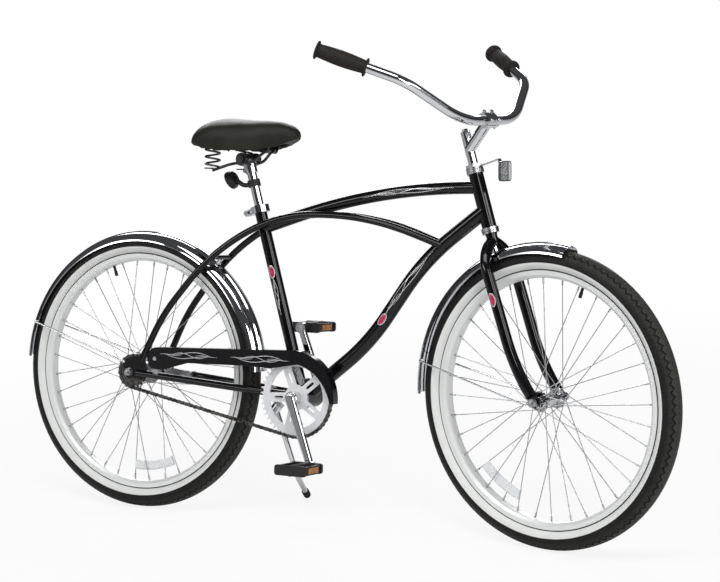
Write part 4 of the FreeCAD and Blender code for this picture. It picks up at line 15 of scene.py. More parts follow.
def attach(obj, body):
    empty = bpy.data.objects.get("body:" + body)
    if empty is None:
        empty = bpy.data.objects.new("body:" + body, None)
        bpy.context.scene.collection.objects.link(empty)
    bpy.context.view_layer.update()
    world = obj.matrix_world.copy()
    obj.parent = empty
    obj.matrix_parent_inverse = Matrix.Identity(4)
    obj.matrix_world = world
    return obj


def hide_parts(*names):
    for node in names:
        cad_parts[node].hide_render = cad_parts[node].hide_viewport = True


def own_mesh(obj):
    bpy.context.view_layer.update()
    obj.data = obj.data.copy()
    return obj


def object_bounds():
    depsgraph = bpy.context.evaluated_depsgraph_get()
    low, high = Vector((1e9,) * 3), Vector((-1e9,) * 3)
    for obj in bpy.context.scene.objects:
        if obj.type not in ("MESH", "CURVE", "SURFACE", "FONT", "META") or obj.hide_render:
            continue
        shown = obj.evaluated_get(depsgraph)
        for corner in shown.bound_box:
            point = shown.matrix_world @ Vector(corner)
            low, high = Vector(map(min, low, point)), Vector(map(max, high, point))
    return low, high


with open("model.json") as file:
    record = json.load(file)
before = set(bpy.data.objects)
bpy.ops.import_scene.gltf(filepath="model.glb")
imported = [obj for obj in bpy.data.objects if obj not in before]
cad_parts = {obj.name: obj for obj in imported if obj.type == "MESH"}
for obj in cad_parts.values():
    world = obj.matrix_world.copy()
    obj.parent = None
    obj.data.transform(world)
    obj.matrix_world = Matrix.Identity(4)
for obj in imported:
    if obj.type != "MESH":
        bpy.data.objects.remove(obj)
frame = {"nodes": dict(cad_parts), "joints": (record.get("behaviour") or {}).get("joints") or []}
cad_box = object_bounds()
nodes = frame["nodes"]
joints = {joint["name"]: joint for joint in frame["joints"]}
scene = bpy.context.scene
scene.view_settings.view_transform = "Standard"

# %% [markdown]
# A bicycle is easiest to draw upright, in millimetres, from the spot where its rear tyre stands.
# The parked one leans, and its fork is turned as well, so two small drawing frames carry points
# into place. Both are read from the joints, because an axle and a steering axis say it all.

# %% Two drawing frames
TYRE_RADIUS = 333.0
PER_METRE = 1000.0


def unit(vectors):
    """Vectors divided by their own lengths."""
    vectors = np.asarray(vectors, float)
    return vectors / np.linalg.norm(vectors, axis=-1, keepdims=True)


def square_to(ahead):
    """Two directions square to a way T: a level one, X = T x Z, and one over it, Y = X x T."""
    level = unit(np.cross(ahead, (0.0, 0.0, 1.0)))
    return level, np.cross(level, ahead)


def circle(count):
    """Angles in equal steps round a circle."""
    return np.linspace(0, 2 * np.pi, count, endpoint=False)


class Drawing:
    """Millimetres in a frame of its own, placed in the scene as origin + x X + y Y + z Z."""

    def __init__(self, origin, forward, left):
        self.origin = np.asarray(origin, float)
        self.axes = np.stack([forward, left, np.cross(forward, left)])

    def place(self, points):
        """Points in metres: the origin plus each coordinate times its own axis."""
        return self.origin + np.asarray(points, float) @ self.axes / PER_METRE


def joint_line(name):
    """A joint's point and axis as arrays."""
    return np.array(joints[name]["pos_m"]), np.array(joints[name]["axis"])


rear_axle, left_side = joint_line("rear_wheel_spin")
bike = Drawing(rear_axle, (1.0, 0.0, 0.0), left_side)
bike.origin = bike.place((0.0, 0.0, -TYRE_RADIUS))
front_axle, fork_left = joint_line("front_wheel_spin")
head_foot, steering = joint_line("steering")
fork = Drawing(head_foot, np.cross(fork_left, steering), fork_left)
print("rear tyre stands at", np.round(bike.origin, 3))

# %% [markdown]
# The camera stands to the right and in front of the bicycle, low and far away. Its numbers are
# written in the upright drawing frame, so that it leans with the parked bicycle.

# %% Camera
CAMERA_PLACE = (2941.8, -4198.6, 772.6)
AZIMUTH, ELEVATION, ROLL = np.radians((29.14, 2.63, 1.22))
FOCAL_LENGTH, SENSOR_WIDTH = 104.48, 36.0

backward = np.array([
    np.sin(AZIMUTH) * np.cos(ELEVATION), -np.cos(AZIMUTH) * np.cos(ELEVATION), np.sin(ELEVATION),
])
level, plumb = square_to(-backward)
picture_right = np.cos(ROLL) * level + np.sin(ROLL) * plumb
picture_up = np.cos(ROLL) * plumb - np.sin(ROLL) * level
camera = bpy.data.objects.new("camera", bpy.data.cameras.new("camera"))
camera.data.lens = FOCAL_LENGTH
camera.data.sensor_width = SENSOR_WIDTH
turned = np.stack([picture_right, picture_up, backward]) @ bike.axes
columns = np.vstack([turned, bike.place(CAMERA_PLACE)])
camera.matrix_world = Matrix(columns.T.tolist() + [[0.0, 0.0, 0.0, 1.0]])
scene.collection.objects.link(camera)
scene.camera = camera
print("camera at", [round(v, 3) for v in camera.matrix_world.translation])

# %% [markdown]
# A finish is a tree of nodes. Wiring it by hand is slow to read, so this class wraps a socket and lets
# Python's operators add the Math nodes: with a mask in a name, 1 - mask is written as it is said.

# %% Sockets as numbers
class Value:
    """A node's output. Adding, subtracting or multiplying it adds a Math node."""

    def __init__(self, recipe, socket):
        self.recipe = recipe
        self.socket = socket

    def __add__(self, other):
        return self.recipe.math("ADD", self, other)

    def __sub__(self, other):
        return self.recipe.math("SUBTRACT", self, other)

    def __rsub__(self, other):
        return self.recipe.math("SUBTRACT", other, self)

    def __mul__(self, other):
        return self.recipe.math("MULTIPLY", self, other)

    __radd__, __rmul__ = __add__, __mul__


print("sockets add, subtract and multiply")

# %% [markdown]
# A recipe is one material or world. Its first method makes any node at all, and the others are the few
# nodes that every finish needs: coordinates, noise, a smooth step, a blend of colours and a relief.

# %% Node trees
class Recipe:
    """A node tree written line by line."""

    def __init__(self, owner):
        owner.use_nodes = True
        self.owner = owner
        self.tree = owner.node_tree
        self.tree.nodes.clear()

    def make(self, kind, settings=None, sockets=None, output=0):
        """Adds a node, sets its settings, then sets or links its sockets, and gives one output."""
        node = self.tree.nodes.new(kind)
        for name, value in (settings or {}).items():
            setattr(node, name, value)
        for key, value in (sockets or {}).items():
            if isinstance(value, Value):
                self.tree.links.new(value.socket, node.inputs[key])
            else:
                node.inputs[key].default_value = value
        return Value(self, node.outputs[output]) if len(node.outputs) else None

    def math(self, operation, *values):
        """One Math node of values or numbers."""
        return self.make("ShaderNodeMath", {"operation": operation}, dict(enumerate(values)))

    def where(self, kind="Object"):
        """Object coordinates in metres, or the piece's own UV map."""
        return self.make("ShaderNodeTexCoord", output=kind)

    def axis(self, vector, name):
        """One component of a vector."""
        return self.make("ShaderNodeSeparateXYZ", None, {0: vector}, name)

    def noise(self, scale, detail=3.0):
        """Soft random values from 0 to 1, so many to the metre."""
        sockets = {"Vector": self.where(), "Scale": scale, "Detail": detail}
        return self.make("ShaderNodeTexNoise", None, sockets)

    def ease(self, value, low, high):
        """Smooth step from 0 at low to 1 at high."""
        settings = {"interpolation_type": "SMOOTHSTEP"}
        return self.make("ShaderNodeMapRange", settings, {0: value, 1: low, 2: high})

    def blend(self, share, first, second):
        """Colour between two, by a share from 0 to 1."""
        first, second = (c if isinstance(c, Value) else (*c, 1.0) for c in (first, second))
        return self.make("ShaderNodeMix", {"data_type": "RGBA"}, {0: share, 6: first, 7: second}, 2)

    def bump(self, height, depth):
        """Normal of a relief whose height from 0 to 1 spans a depth in metres."""
        sockets = {"Height": height, "Distance": depth, "Strength": 1.0}
        return self.make("ShaderNodeBump", None, sockets, "Normal")

    def surface(self, sockets):
        """Principled shader on the material's output."""
        shader = self.make("ShaderNodeBsdfPrincipled", None, sockets)
        self.make("ShaderNodeOutputMaterial", None, {"Surface": shader})
        return self.owner


def recipe(name):
    """An empty material of a name."""
    return Recipe(bpy.data.materials.new(name))


print("recipes start from", len(bpy.data.materials), "materials of the frame")

# %% [markdown]
# The studio is plain: a pale floor, white all round, and three soft boxes. The background is white
# because the floor and the world are white to the camera, not because more light falls on the part.
# Polished metal shows its surroundings, so for reflections alone the world is dark and bright in bands.

# %% World
WHITE = (1.0, 1.0, 1.0)
ROOM_LIGHT = (0.42, 0.42, 0.43)
CARD_BLACK, CARD_TOP = (0.03, 0.03, 0.032), (0.07, 0.07, 0.074)
STRIP_LIGHT, PANE_LIGHT = (0.50, 0.50, 0.51), (7.0, 7.04, 7.12)
STRIP_BEARING, PANE_BEARING = np.radians((-135.0, -123.0))
LIGHTS_ROUND = 3.0
# Soft edges, in the wave round the room or in a ray's height.
STRIP_EDGE, STRIP_TOP = (0.45, 0.97), (0.20, 0.40)
PANE_EDGE, PANE_FOOT, PANE_HEAD = (0.45, 0.80), (0.27, 0.32), (0.42, 0.50)


def studio_world():
    """White to the camera. For reflections: dark all round with three pale strips near the horizon
    and three bright windows above them, as black cards and strip lights give."""
    r = Recipe(bpy.data.worlds.new("studio"))
    seen = r.make("ShaderNodeLightPath", output="Is Camera Ray")
    clear = r.make("ShaderNodeLightPath", output="Is Transmission Ray")
    mirror = r.make("ShaderNodeLightPath", output="Is Glossy Ray")
    toward = r.where("Generated")
    height = r.axis(toward, "Z")
    sideways, along = r.axis(toward, "Y"), r.axis(toward, "X")
    bearing = r.math("ARCTAN2", sideways, along)
    wave = r.math("COSINE", (bearing - STRIP_BEARING) * LIGHTS_ROUND)
    low = r.blend(r.ease(wave, *STRIP_EDGE), CARD_BLACK, STRIP_LIGHT)
    cards = r.blend(r.ease(height, *STRIP_TOP), low, CARD_TOP)
    panes = r.math("COSINE", (bearing - PANE_BEARING) * LIGHTS_ROUND)
    row = r.ease(height, *PANE_FOOT) * (1.0 - r.ease(height, *PANE_HEAD)) * r.ease(panes, *PANE_EDGE)
    sky = r.blend(row, cards, PANE_LIGHT)
    light = r.blend(mirror, ROOM_LIGHT, sky)
    shown = r.blend(r.math("MAXIMUM", seen, clear), light, WHITE)
    background = r.make("ShaderNodeBackground", None, {"Color": shown})
    r.make("ShaderNodeOutputWorld", None, {"Surface": background})
    return r.owner


scene.world = studio_world()
print("world of", len(scene.world.node_tree.nodes), "nodes")

# %% [markdown]
# The floor has to look white and still keep the bicycle's shadow. To the camera it is mostly its own
# white, with a share of matt paint that takes the shadow; all other rays see the matt paint alone.

# %% Floor
FLOOR_SIZE = 60.0
FLOOR_WHITE = 0.86
SHADOW_REACH = (0.9, 2.6)


def floor_finish():
    """Pale floor: matt near the bicycle, where its shadow falls, and plain white further out."""
    r = recipe("studio_floor")
    seen = r.make("ShaderNodeLightPath", output="Is Camera Ray")
    spot = r.make("ShaderNodeVectorMath", {"operation": "LENGTH"}, {0: r.where()}, "Value")
    far = r.ease(spot, *SHADOW_REACH)
    grain = r.noise(60.0)
    tone = r.blend(grain, (0.80, 0.80, 0.80), (0.83, 0.83, 0.83))
    matt = r.make("ShaderNodeBsdfDiffuse", None, {"Color": tone})
    white = r.make("ShaderNodeEmission", None, {"Color": (*WHITE, 1.0)})
    share = seen * (FLOOR_WHITE + far * (1.0 - FLOOR_WHITE))
    mixed = r.make("ShaderNodeMixShader", None, {0: share, 1: matt, 2: white})
    r.make("ShaderNodeOutputMaterial", None, {"Surface": mixed})
    return r.owner


floor_mesh = bpy.data.meshes.new("floor")
floor_corners = np.array([(-1, -1, 0), (1, -1, 0), (1, 1, 0), (-1, 1, 0)]) * FLOOR_SIZE / 2
floor_mesh.from_pydata(floor_corners.tolist(), [], [(0, 1, 2, 3)])
floor = bpy.data.objects.new("floor", floor_mesh)
scene.collection.objects.link(floor)
floor_mesh.materials.append(floor_finish())
print("floor", FLOOR_SIZE, "m wide")

# %% [markdown]
# Three soft boxes draw the long light lines along the tubes. A large one hangs above on the camera's
# side, a narrow one stands in front of the bicycle and a weak one fills the far side.

# %% Soft boxes
bike_middle = Vector((np.array(cad_box[0]) + np.array(cad_box[1])) / 2)


def soft_box(name, place, size, watts):
    """Rectangular lamp at a place, aimed at the middle of the bicycle."""
    lamp = bpy.data.lights.new(name, "AREA")
    lamp.shape = "RECTANGLE"
    lamp.size, lamp.size_y = size
    lamp.energy = watts
    box = bpy.data.objects.new(name, lamp)
    aim = bike_middle - Vector(place)
    box.matrix_world = Matrix.LocRotScale(Vector(place), aim.to_track_quat("-Z", "Y"), None)
    scene.collection.objects.link(box)


soft_box("soft_box_above", (0.4, -1.6, 3.4), (3.4, 1.2), 70.0)
soft_box("soft_box_front", (3.2, -2.6, 1.9), (0.7, 2.2), 45.0)
soft_box("soft_box_far", (-2.2, 2.8, 2.4), (2.0, 1.5), 40.0)
print(len(bpy.data.lights), "soft boxes")

# %% [markdown]
# New pieces are grids of points. A shape is a function of two numbers, worked out for the whole grid
# at once, and one helper turns the grid into a mesh. Each row is a ring, as round a tube. The rows
# form a ring as well, as on a tyre, or a lid closes the first and the last.

# %% From grid to mesh
def grid_faces(rows, cols, ring_rows):
    """Quads between neighbours of a grid. Columns join last to first; so do ringed rows, and other
    rows end in a lid."""
    index = np.arange(rows * cols).reshape(rows, cols)
    if ring_rows:
        index = np.vstack([index, index[:1]])
    index = np.hstack([index, index[:, :1]])
    corners = [index[:-1, :-1], index[1:, :-1], index[1:, 1:], index[:-1, 1:]]
    quads = np.stack(corners, -1).reshape(-1, 4).tolist()
    if not ring_rows:
        quads += [index[0, :-1].tolist(), index[-1, :-1][::-1].tolist()]
    return quads


def points_of(mesh, what="co"):
    """A mesh's vertices, or their normals, as rows of an array."""
    flat = np.empty(len(mesh.vertices) * 3)
    mesh.vertices.foreach_get(what, flat)
    return flat.reshape(-1, 3)


def outward(mesh):
    """Turns a closed mesh right side out: its signed volume, the sum of p0 . (p1 x p2) / 6, is positive."""
    mesh.calc_loop_triangles()
    corners = np.empty(len(mesh.loop_triangles) * 3, np.int32)
    mesh.loop_triangles.foreach_get("vertices", corners)
    tri = points_of(mesh)[corners].reshape(-1, 3, 3)
    if np.einsum("ij,ij->i", tri[:, 0], np.cross(tri[:, 1], tri[:, 2])).sum() < 0:
        mesh.flip_normals()


def make_piece(name, grids, body, material, ring_rows=False, uv=None, smooth=True):
    """One object from grids of points in metres, riding a body, with its finish and material slot."""
    points, faces = [], []
    for grid in grids:
        start = sum(len(p) for p in points)
        faces += [[start + k for k in face] for face in grid_faces(*grid.shape[:2], ring_rows)]
        points.append(grid.reshape(-1, 3))
    mesh = bpy.data.meshes.new(name)
    mesh.from_pydata(np.concatenate(points).tolist(), [], faces)
    if uv is not None:
        corner = np.empty(len(mesh.loops), np.int32)
        mesh.loops.foreach_get("vertex_index", corner)
        mesh.uv_layers.new(name="section").data.foreach_set("uv", uv.reshape(-1, 2)[corner].ravel())
    if smooth:
        mesh.polygons.foreach_set("use_smooth", np.ones(len(mesh.polygons), bool))
    mesh.materials.append(material)
    mesh.update()
    piece = bpy.data.objects.new(name, mesh)
    scene.collection.objects.link(piece)
    outward(mesh)
    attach(piece, body)
    return piece


print("a tube of 3 rings of 8 points has", len(grid_faces(3, 8, False)), "faces")

# %% [markdown]
# The tyres carry a pale wall beside the rim and a black tread. The tread has two straight grooves
# near its crown and a zigzag groove along each shoulder. Those are cut in the surface itself: the rows
# of the grid bend into the zigzag, so that a groove is only a row that lies deeper.

# %% Rows of the tread
# Places round the tyre's section, in degrees from the crown; a groove's floor lies between its two.
CROWN_GROOVE, ZIGZAG_GROOVE = (9.0, 11.0), (36.8, 43.2)
BLOCKS = ((16.0, 30.0), (50.0, 64.0))
SKIN_END = 146.0

half_skin = np.concatenate([
    np.linspace(0, 7, 3), [8.0, *CROWN_GROOVE, 12.0], np.linspace(14, 31, 6), [35.0, *ZIGZAG_GROOVE, 45.0],
    np.linspace(48, 80, 6), np.linspace(86, SKIN_END, 13),
])
skin = np.concatenate([-half_skin[:0:-1], half_skin])
groove_rows = np.isin(np.abs(skin).round(1), CROWN_GROOVE + ZIGZAG_GROOVE).astype(float)
block_rows = sum((np.abs(skin) > low) & (np.abs(skin) < high) for low, high in BLOCKS).astype(float)
print(len(skin), "rows of skin,", int(groove_rows.sum()), "of them in grooves")

# %% [markdown]
# Rubber wears grey where it meets the road and stays black in the grooves and on the walls. The pale
# wall is the same rubber in white, so one finish serves the whole tyre and reads its places from a UV map.

# %% Tyre rubber
WALL_BAND = (288.6, 303.4)
SECTION_LOW, SECTION_SPAN = 280.0, 55.0
SKIN_SPAN = 150.0
TREAD_EDGE, SHOULDER_EDGE, SHOULDER_FADE = (34.5, 35.5), (44.5, 45.5), (55.0, 75.0)
SHOULDER_WEAR = 0.4


def tyre_rubber():
    """Black rubber with a pale wall between two radii, worn grey between its grooves. The UV map gives
    a point's place from the crown outwards and its radius."""
    r = recipe("tyre_rubber")
    place = SKIN_SPAN * r.axis(r.where("UV"), "X")
    radius = SECTION_LOW + SECTION_SPAN * r.axis(r.where("UV"), "Y")
    first, last = CROWN_GROOVE
    groove = r.ease(place, first - 1.0, first) * (1.0 - r.ease(place, last, last + 1.0))
    shoulder = r.ease(place, *SHOULDER_EDGE) * (1.0 - r.ease(place, *SHOULDER_FADE))
    worn = (1.0 - r.ease(place, *TREAD_EDGE)) * (1.0 - groove) + SHOULDER_WEAR * shoulder
    low, high = WALL_BAND
    band = r.ease(radius, low - 0.3, low + 0.3) * (1.0 - r.ease(radius, high - 0.4, high + 0.4))
    mottle = r.noise(35.0)
    fine = r.noise(900.0, 2.0)
    wall = r.blend(mottle, (0.003, 0.003, 0.003), (0.009, 0.009, 0.008))
    black = r.blend(worn, wall, r.blend(mottle, (0.024, 0.024, 0.021), (0.046, 0.045, 0.040)))
    pale = r.blend(mottle, (0.66, 0.67, 0.65), (0.76, 0.77, 0.75))
    return r.surface({
        "Base Color": r.blend(band, black, pale),
        "Roughness": 0.42 + fine * 0.2 + band * 0.05,
        "Specular IOR Level": 0.22,
        "Normal": r.bump(fine, 0.0002),
    })


tyre_finish = tyre_rubber()
print("tyre rubber of", len(tyre_finish.node_tree.nodes), "nodes")

# %% [markdown]
# Now the section is swept about the axle. It is an outer and an inner oval with a foot at each rim, and
# it closes on itself both ways, so the tyre is a hollow ring as the real one is.

# %% Tyres
CARCASS_CENTRE, CARCASS_HALF = 306.0, 27.0
BEAD_DROP, BEAD_RADIUS = 22.0, 281.0
BEAD_FOOT = np.array([14.4, 12.6])
TYRE_WALL = 4.0
TREAD_DEPTH, CUT_DEPTH = 2.2, 1.4
ZIGZAGS, ZIGZAG_STEPS, CUT_EVERY = 112, 8, 4
ZIGZAG_PLACE, ZIGZAG_SWING, ZIGZAG_REACH = 40.0, 9.5, 12.0


def carcass(angle, depth):
    """Oval at a depth d below the skin: y = (27 - d) sin p, r = 306 + (27 - d) cos p, and 22 for 27
    in r on the rim's half."""
    tall = np.where(np.cos(angle) > 0, CARCASS_HALF, BEAD_DROP) - depth
    return (CARCASS_HALF - depth) * np.sin(angle), CARCASS_CENTRE + tall * np.cos(angle)


def tyre_grid(axle, across, forward):
    """Closed section swept about the axle: an outer oval, one 4 mm inside it and a bead foot at each
    rim. The rows near p = 40 degrees swing by a triangle wave of the turn, groove rows lie 2.2 mm
    deeper and short cuts cross the blocks."""
    turns = np.arange(ZIGZAGS * ZIGZAG_STEPS) / (ZIGZAGS * ZIGZAG_STEPS)
    wave = np.abs((turns * ZIGZAGS * 2) % 2 - 1) * 2 - 1
    near = np.exp(-(((np.abs(skin) - ZIGZAG_PLACE) / ZIGZAG_REACH) ** 2)) * np.sign(skin)
    lean = np.radians(skin[None] + ZIGZAG_SWING * wave[:, None] * near[None])
    cut = (np.arange(len(turns)) % CUT_EVERY == 0).astype(float)
    depth = (TREAD_DEPTH * groove_rows)[None] + CUT_DEPTH * cut[:, None] * block_rows[None]
    side, radius = carcass(lean, depth)
    inner_side, inner_radius = carcass(np.radians(np.linspace(SKIN_END, -SKIN_END, 15)), TYRE_WALL)
    inner_side = np.concatenate([BEAD_FOOT, inner_side, -BEAD_FOOT[::-1]])
    inner_radius = np.pad(inner_radius, 2, constant_values=BEAD_RADIUS)
    side = np.hstack([side, np.tile(inner_side, (len(turns), 1))])
    radius = np.hstack([radius, np.tile(inner_radius, (len(turns), 1))])
    angle = 2 * np.pi * turns[:, None]
    upward = np.cross(forward, across)
    spread = np.cos(angle)[..., None] * forward + np.sin(angle)[..., None] * upward
    points = axle + (radius[..., None] * spread + side[..., None] * across) / PER_METRE
    place = np.concatenate([np.abs(skin) / SKIN_SPAN, np.ones(len(inner_side))])
    uv = np.stack([np.broadcast_to(place, radius.shape), (radius - SECTION_LOW) / SECTION_SPAN], -1)
    return points, uv


for end, axle, across, forward in (
    ("front", front_axle, fork_left, fork.axes[0]), ("rear", rear_axle, left_side, bike.axes[0]),
):
    points, uv = tyre_grid(axle, across, forward)
    tyre = make_piece(end + "_tyre_tread", [points], end + "_wheel", tyre_finish, True, uv)
    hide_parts(end + "_tyre")
    print(tyre.name, len(tyre.data.polygons), "faces")

# %% [markdown]
# The saddle is foam under stretched vinyl: broad and round behind, narrow in front, full on top and
# drawn in at its sides. A grid gives that form and the hollow below for the pan. Cloth
# simulation then blows the skin up a little, so that it swells between its edges as padding does.

# %% Saddle form
# Stations from tail to nose: distance forward, half width, height of the crown and of the hem.
SADDLE_STATIONS = np.array([
    (170.5, 6.0, 902.0, 896.0), (172.5, 50.0, 911.5, 889.5), (181.0, 81.0, 925.0, 884.0),
    (201.5, 98.0, 938.5, 878.0), (235.0, 105.0, 946.5, 871.0), (275.0, 100.0, 945.0, 866.5),
    (312.0, 74.0, 942.0, 867.5), (352.0, 47.0, 941.5, 874.5), (392.0, 32.5, 937.5, 884.5),
    (418.0, 23.5, 927.0, 895.5), (428.5, 12.0, 916.5, 900.5), (431.0, 3.0, 909.0, 905.0),
])
FOAM, SKIRT, SKIRT_SLOPE = 42.0, 13.0, 4.0
HOLLOW_START, HOLLOW_END, HOLLOW_SLOPE = 199.0, 396.0, 8.0
SADDLE_SQUARENESS = 0.93
HEM_WIDTH = 0.93
WIDEST, TAIL_WIDEST = 0.42, 0.08
TAIL_LOW, TAIL_LENGTH = 172.0, 150.0


def distance_along(path):
    """How far each point of a path lies from its start: the sum of the chords before it."""
    return np.concatenate([[0], np.cumsum(np.linalg.norm(np.diff(path, axis=0), axis=1))])


def smooth_through(stations, count):
    """Cubic curve through stations, in steps of equal chord: Hermite pieces whose slope at a
    station is that of the chord between its neighbours."""
    steps = distance_along(stations[:, :2])
    slope = np.gradient(stations, steps, axis=0)
    at = np.linspace(0, steps[-1], count)
    k = np.clip(np.searchsorted(steps, at, "right") - 1, 0, len(steps) - 2)
    span = (steps[k + 1] - steps[k])[:, None]
    t = ((at - steps[k])[:, None]) / span
    return (
        (2 * t**3 - 3 * t**2 + 1) * stations[k] + (t**3 - 2 * t**2 + t) * span * slope[k]
        + (3 * t**2 - 2 * t**3) * stations[k + 1] + (t**3 - t**2) * span * slope[k + 1]
    )


def saddle_grid(rows=72):
    """Each section: a superellipse over the top, sides that draw in to 0.93 of the half width at the
    hem, and an underside that rises into the hollow for the pan. The widest line, at 0.42 of the
    height, sinks to the hem at the tail."""
    x, half, crown, skirt = (smooth_through(SADDLE_STATIONS, rows)[:, k : k + 1] for k in range(4))
    tall = crown - skirt
    belly = skirt + np.clip((x - TAIL_LOW) / TAIL_LENGTH, TAIL_WIDEST, WIDEST) * tall
    a = np.linspace(0, np.pi, 33)[None]
    top_y = half * np.sign(np.cos(a)) * np.abs(np.cos(a)) ** SADDLE_SQUARENESS
    top_z = belly + (crown - belly) * np.abs(np.sin(a)) ** SADDLE_SQUARENESS
    u = np.linspace(0.15, 1, 6)[None]
    side_y = half * (1 - (1 - HEM_WIDTH) * u**2)
    side_z = belly - u * (belly - skirt)
    v = np.linspace(-0.97, 0.97, 25)[None]
    under_y = HEM_WIDTH * half * v
    room = np.clip((half - SKIRT - np.abs(under_y)) / SKIRT_SLOPE, 0, 1)
    depth = np.clip((x - HOLLOW_START) / HOLLOW_SLOPE, 0, 1) * np.clip((HOLLOW_END - x) / HOLLOW_SLOPE, 0, 1)
    under_z = skirt + depth * room * np.maximum(crown - FOAM - skirt, 0)
    y = np.hstack([top_y, -side_y, under_y, side_y[:, ::-1]])
    z = np.hstack([top_z, side_z, under_z, side_z[:, ::-1]])
    return bike.place(np.stack([np.broadcast_to(x, y.shape), y, z], -1))


saddle_points = saddle_grid()
print("saddle form", saddle_points.shape[0], "sections of", saddle_points.shape[1], "points")

# %% [markdown]
# Vinyl has an embossed grain like leather's. Small cells and creases make that relief, and a slow
# noise changes its tone and its shine, because a rider rubs some places more than others.

# %% Seat vinyl
def seat_vinyl():
    """Dark olive vinyl: fine pebbled grain, with a soft shine that varies where it is rubbed."""
    r = recipe("seat_vinyl")
    pebble = r.make("ShaderNodeTexVoronoi", None, {"Vector": r.where(), "Scale": 700.0})
    crease = r.noise(320.0, 4.0)
    rub = r.noise(14.0)
    tone = r.blend(rub, (0.011, 0.011, 0.008), (0.022, 0.021, 0.015))
    return r.surface({
        "Base Color": r.blend(crease * 0.5, tone, (0.010, 0.010, 0.009)),
        "Roughness": 0.36 + crease * 0.12 + rub * 0.08,
        "Normal": r.bump(crease * 0.6 + pebble * 0.6, 0.0005),
        "Specular IOR Level": 0.2,
    })


saddle = make_piece("saddle_padding", [saddle_points], "saddle", seat_vinyl())
print(saddle.name, len(saddle.data.polygons), "faces")

# %% [markdown]
# For the simulation the form is rebuilt with even faces. The hem and the hollow are pinned, and
# pressure pushes the free skin outwards. How far a point may go is capped, to keep the saddle's size,
# and the cap is lower towards the tail, where the cover is stretched tight.

# %% Saddle swells
VOXEL = 0.005
SWELL_FRAMES, SWELL_PRESSURE, SWELL_CAP = 20, 4.0, 0.006
HEM_HELD, HEM_EASE = 12.0, 14.0
UNDERSIDE = -0.6
TAIL_TIGHT, TAIL_EASE, TAIL_SHARE = 180.0, 60.0, 0.2


def free_share(mesh):
    """How free each point is, from 0 to 1: it grows with its height over the hem and its distance
    from the tail, and is 0 where the skin faces down."""
    local = (points_of(mesh) - bike.origin) @ bike.axes.T * PER_METRE
    stations = smooth_through(SADDLE_STATIONS, 200)
    skirt = np.interp(local[:, 0], stations[:, 0], stations[:, 3])
    above = np.clip((local[:, 2] - skirt - HEM_HELD) / HEM_EASE, 0, 1)
    up = points_of(mesh, "normal") @ bike.axes[2]
    return above * ((up > UNDERSIDE) * np.clip((local[:, 0] - TAIL_TIGHT) / TAIL_EASE, TAIL_SHARE, 1))


def swell(piece):
    """Rebuilds a piece with even faces and blows it up as cloth with pressure. Each point keeps its
    way, cut to the cap times its free share; gives the lengths in metres."""
    rebuild = piece.modifiers.new("even_faces", "REMESH")
    rebuild.mode = "VOXEL"
    rebuild.voxel_size = VOXEL
    rebuild.use_smooth_shade = True
    depsgraph = bpy.context.evaluated_depsgraph_get()
    even = bpy.data.meshes.new_from_object(piece.evaluated_get(depsgraph))
    piece.modifiers.clear()
    piece.data = even
    rest = points_of(even)
    free = free_share(even)
    held = piece.vertex_groups.new(name="held")
    for share in np.unique((1 - free).round(1)):
        held.add(np.flatnonzero((1 - free).round(1) == share).tolist(), float(share), "REPLACE")
    cloth = piece.modifiers.new("swell", "CLOTH")
    cloth.settings.use_pressure = True
    cloth.settings.uniform_pressure_force = SWELL_PRESSURE
    cloth.settings.vertex_group_mass = "held"
    cloth.settings.effector_weights.gravity = 0.0
    for step in range(1, SWELL_FRAMES + 1):
        scene.frame_set(step)
    depsgraph = bpy.context.evaluated_depsgraph_get()
    blown = points_of(piece.evaluated_get(depsgraph).data)
    piece.modifiers.clear()
    piece.vertex_groups.clear()
    scene.frame_set(1)
    move = blown - rest
    far = np.linalg.norm(move, axis=1, keepdims=True)
    move *= np.minimum(1, SWELL_CAP * free[:, None] / np.maximum(far, 1e-9))
    even.vertices.foreach_set("co", (rest + move).ravel())
    even.update()
    return np.linalg.norm(move, axis=1)


moved = swell(saddle)
print("cloth moved the skin by up to", round(float(moved.max()) * PER_METRE, 1), "mm")
finer = saddle.modifiers.new("finer", "SUBSURF")
finer.levels = finer.render_levels = 1
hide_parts("saddle_cover")
print("saddle", len(saddle.data.vertices), "points before the last subdivision")

# %% [markdown]
# Two coil springs hold up the back of the saddle. Each is a round wire carried along a helix. The
# saddle rocks on its pivot and presses them.

# %% Saddle springs
SPRING_PLACE = (236.0, 70.0)
SPRING_FOOT, SPRING_TOP = 832.0, 898.3
SPRING_RADIUS, SPRING_WIRE = 17.0, 2.5
SPRING_TURNS, TURN_STEPS, WIRE_SIDES = 4, 48, 10


def spring_grid(side):
    """Circle of the wire's radius, carried square to a helix x = R cos t, y = R sin t, z rising evenly."""
    t = np.linspace(0, 2 * np.pi * SPRING_TURNS, TURN_STEPS * SPRING_TURNS)
    rise = np.linspace(SPRING_FOOT, SPRING_TOP, len(t))
    path = np.stack([
        SPRING_PLACE[0] + SPRING_RADIUS * np.cos(t), SPRING_PLACE[1] + SPRING_RADIUS * np.sin(t), rise,
    ], -1)
    out, over = square_to(unit(np.gradient(path, axis=0)))
    a = circle(WIRE_SIDES)
    ring = np.cos(a)[None, :, None] * out[:, None] + np.sin(a)[None, :, None] * over[:, None]
    return bike.place((path[:, None] + SPRING_WIRE * ring) * (1.0, side, 1.0))


def black_enamel():
    """Black stoved enamel on steel, half glossy, with a faint ripple."""
    r = recipe("black_enamel")
    ripple = r.noise(160.0)
    return r.surface({
        "Base Color": r.blend(r.noise(25.0), (0.010, 0.010, 0.010), (0.020, 0.020, 0.020)),
        "Roughness": 0.24 + ripple * 0.16,
        "Normal": r.bump(ripple, 0.0002),
        "Coat Weight": 0.3,
    })


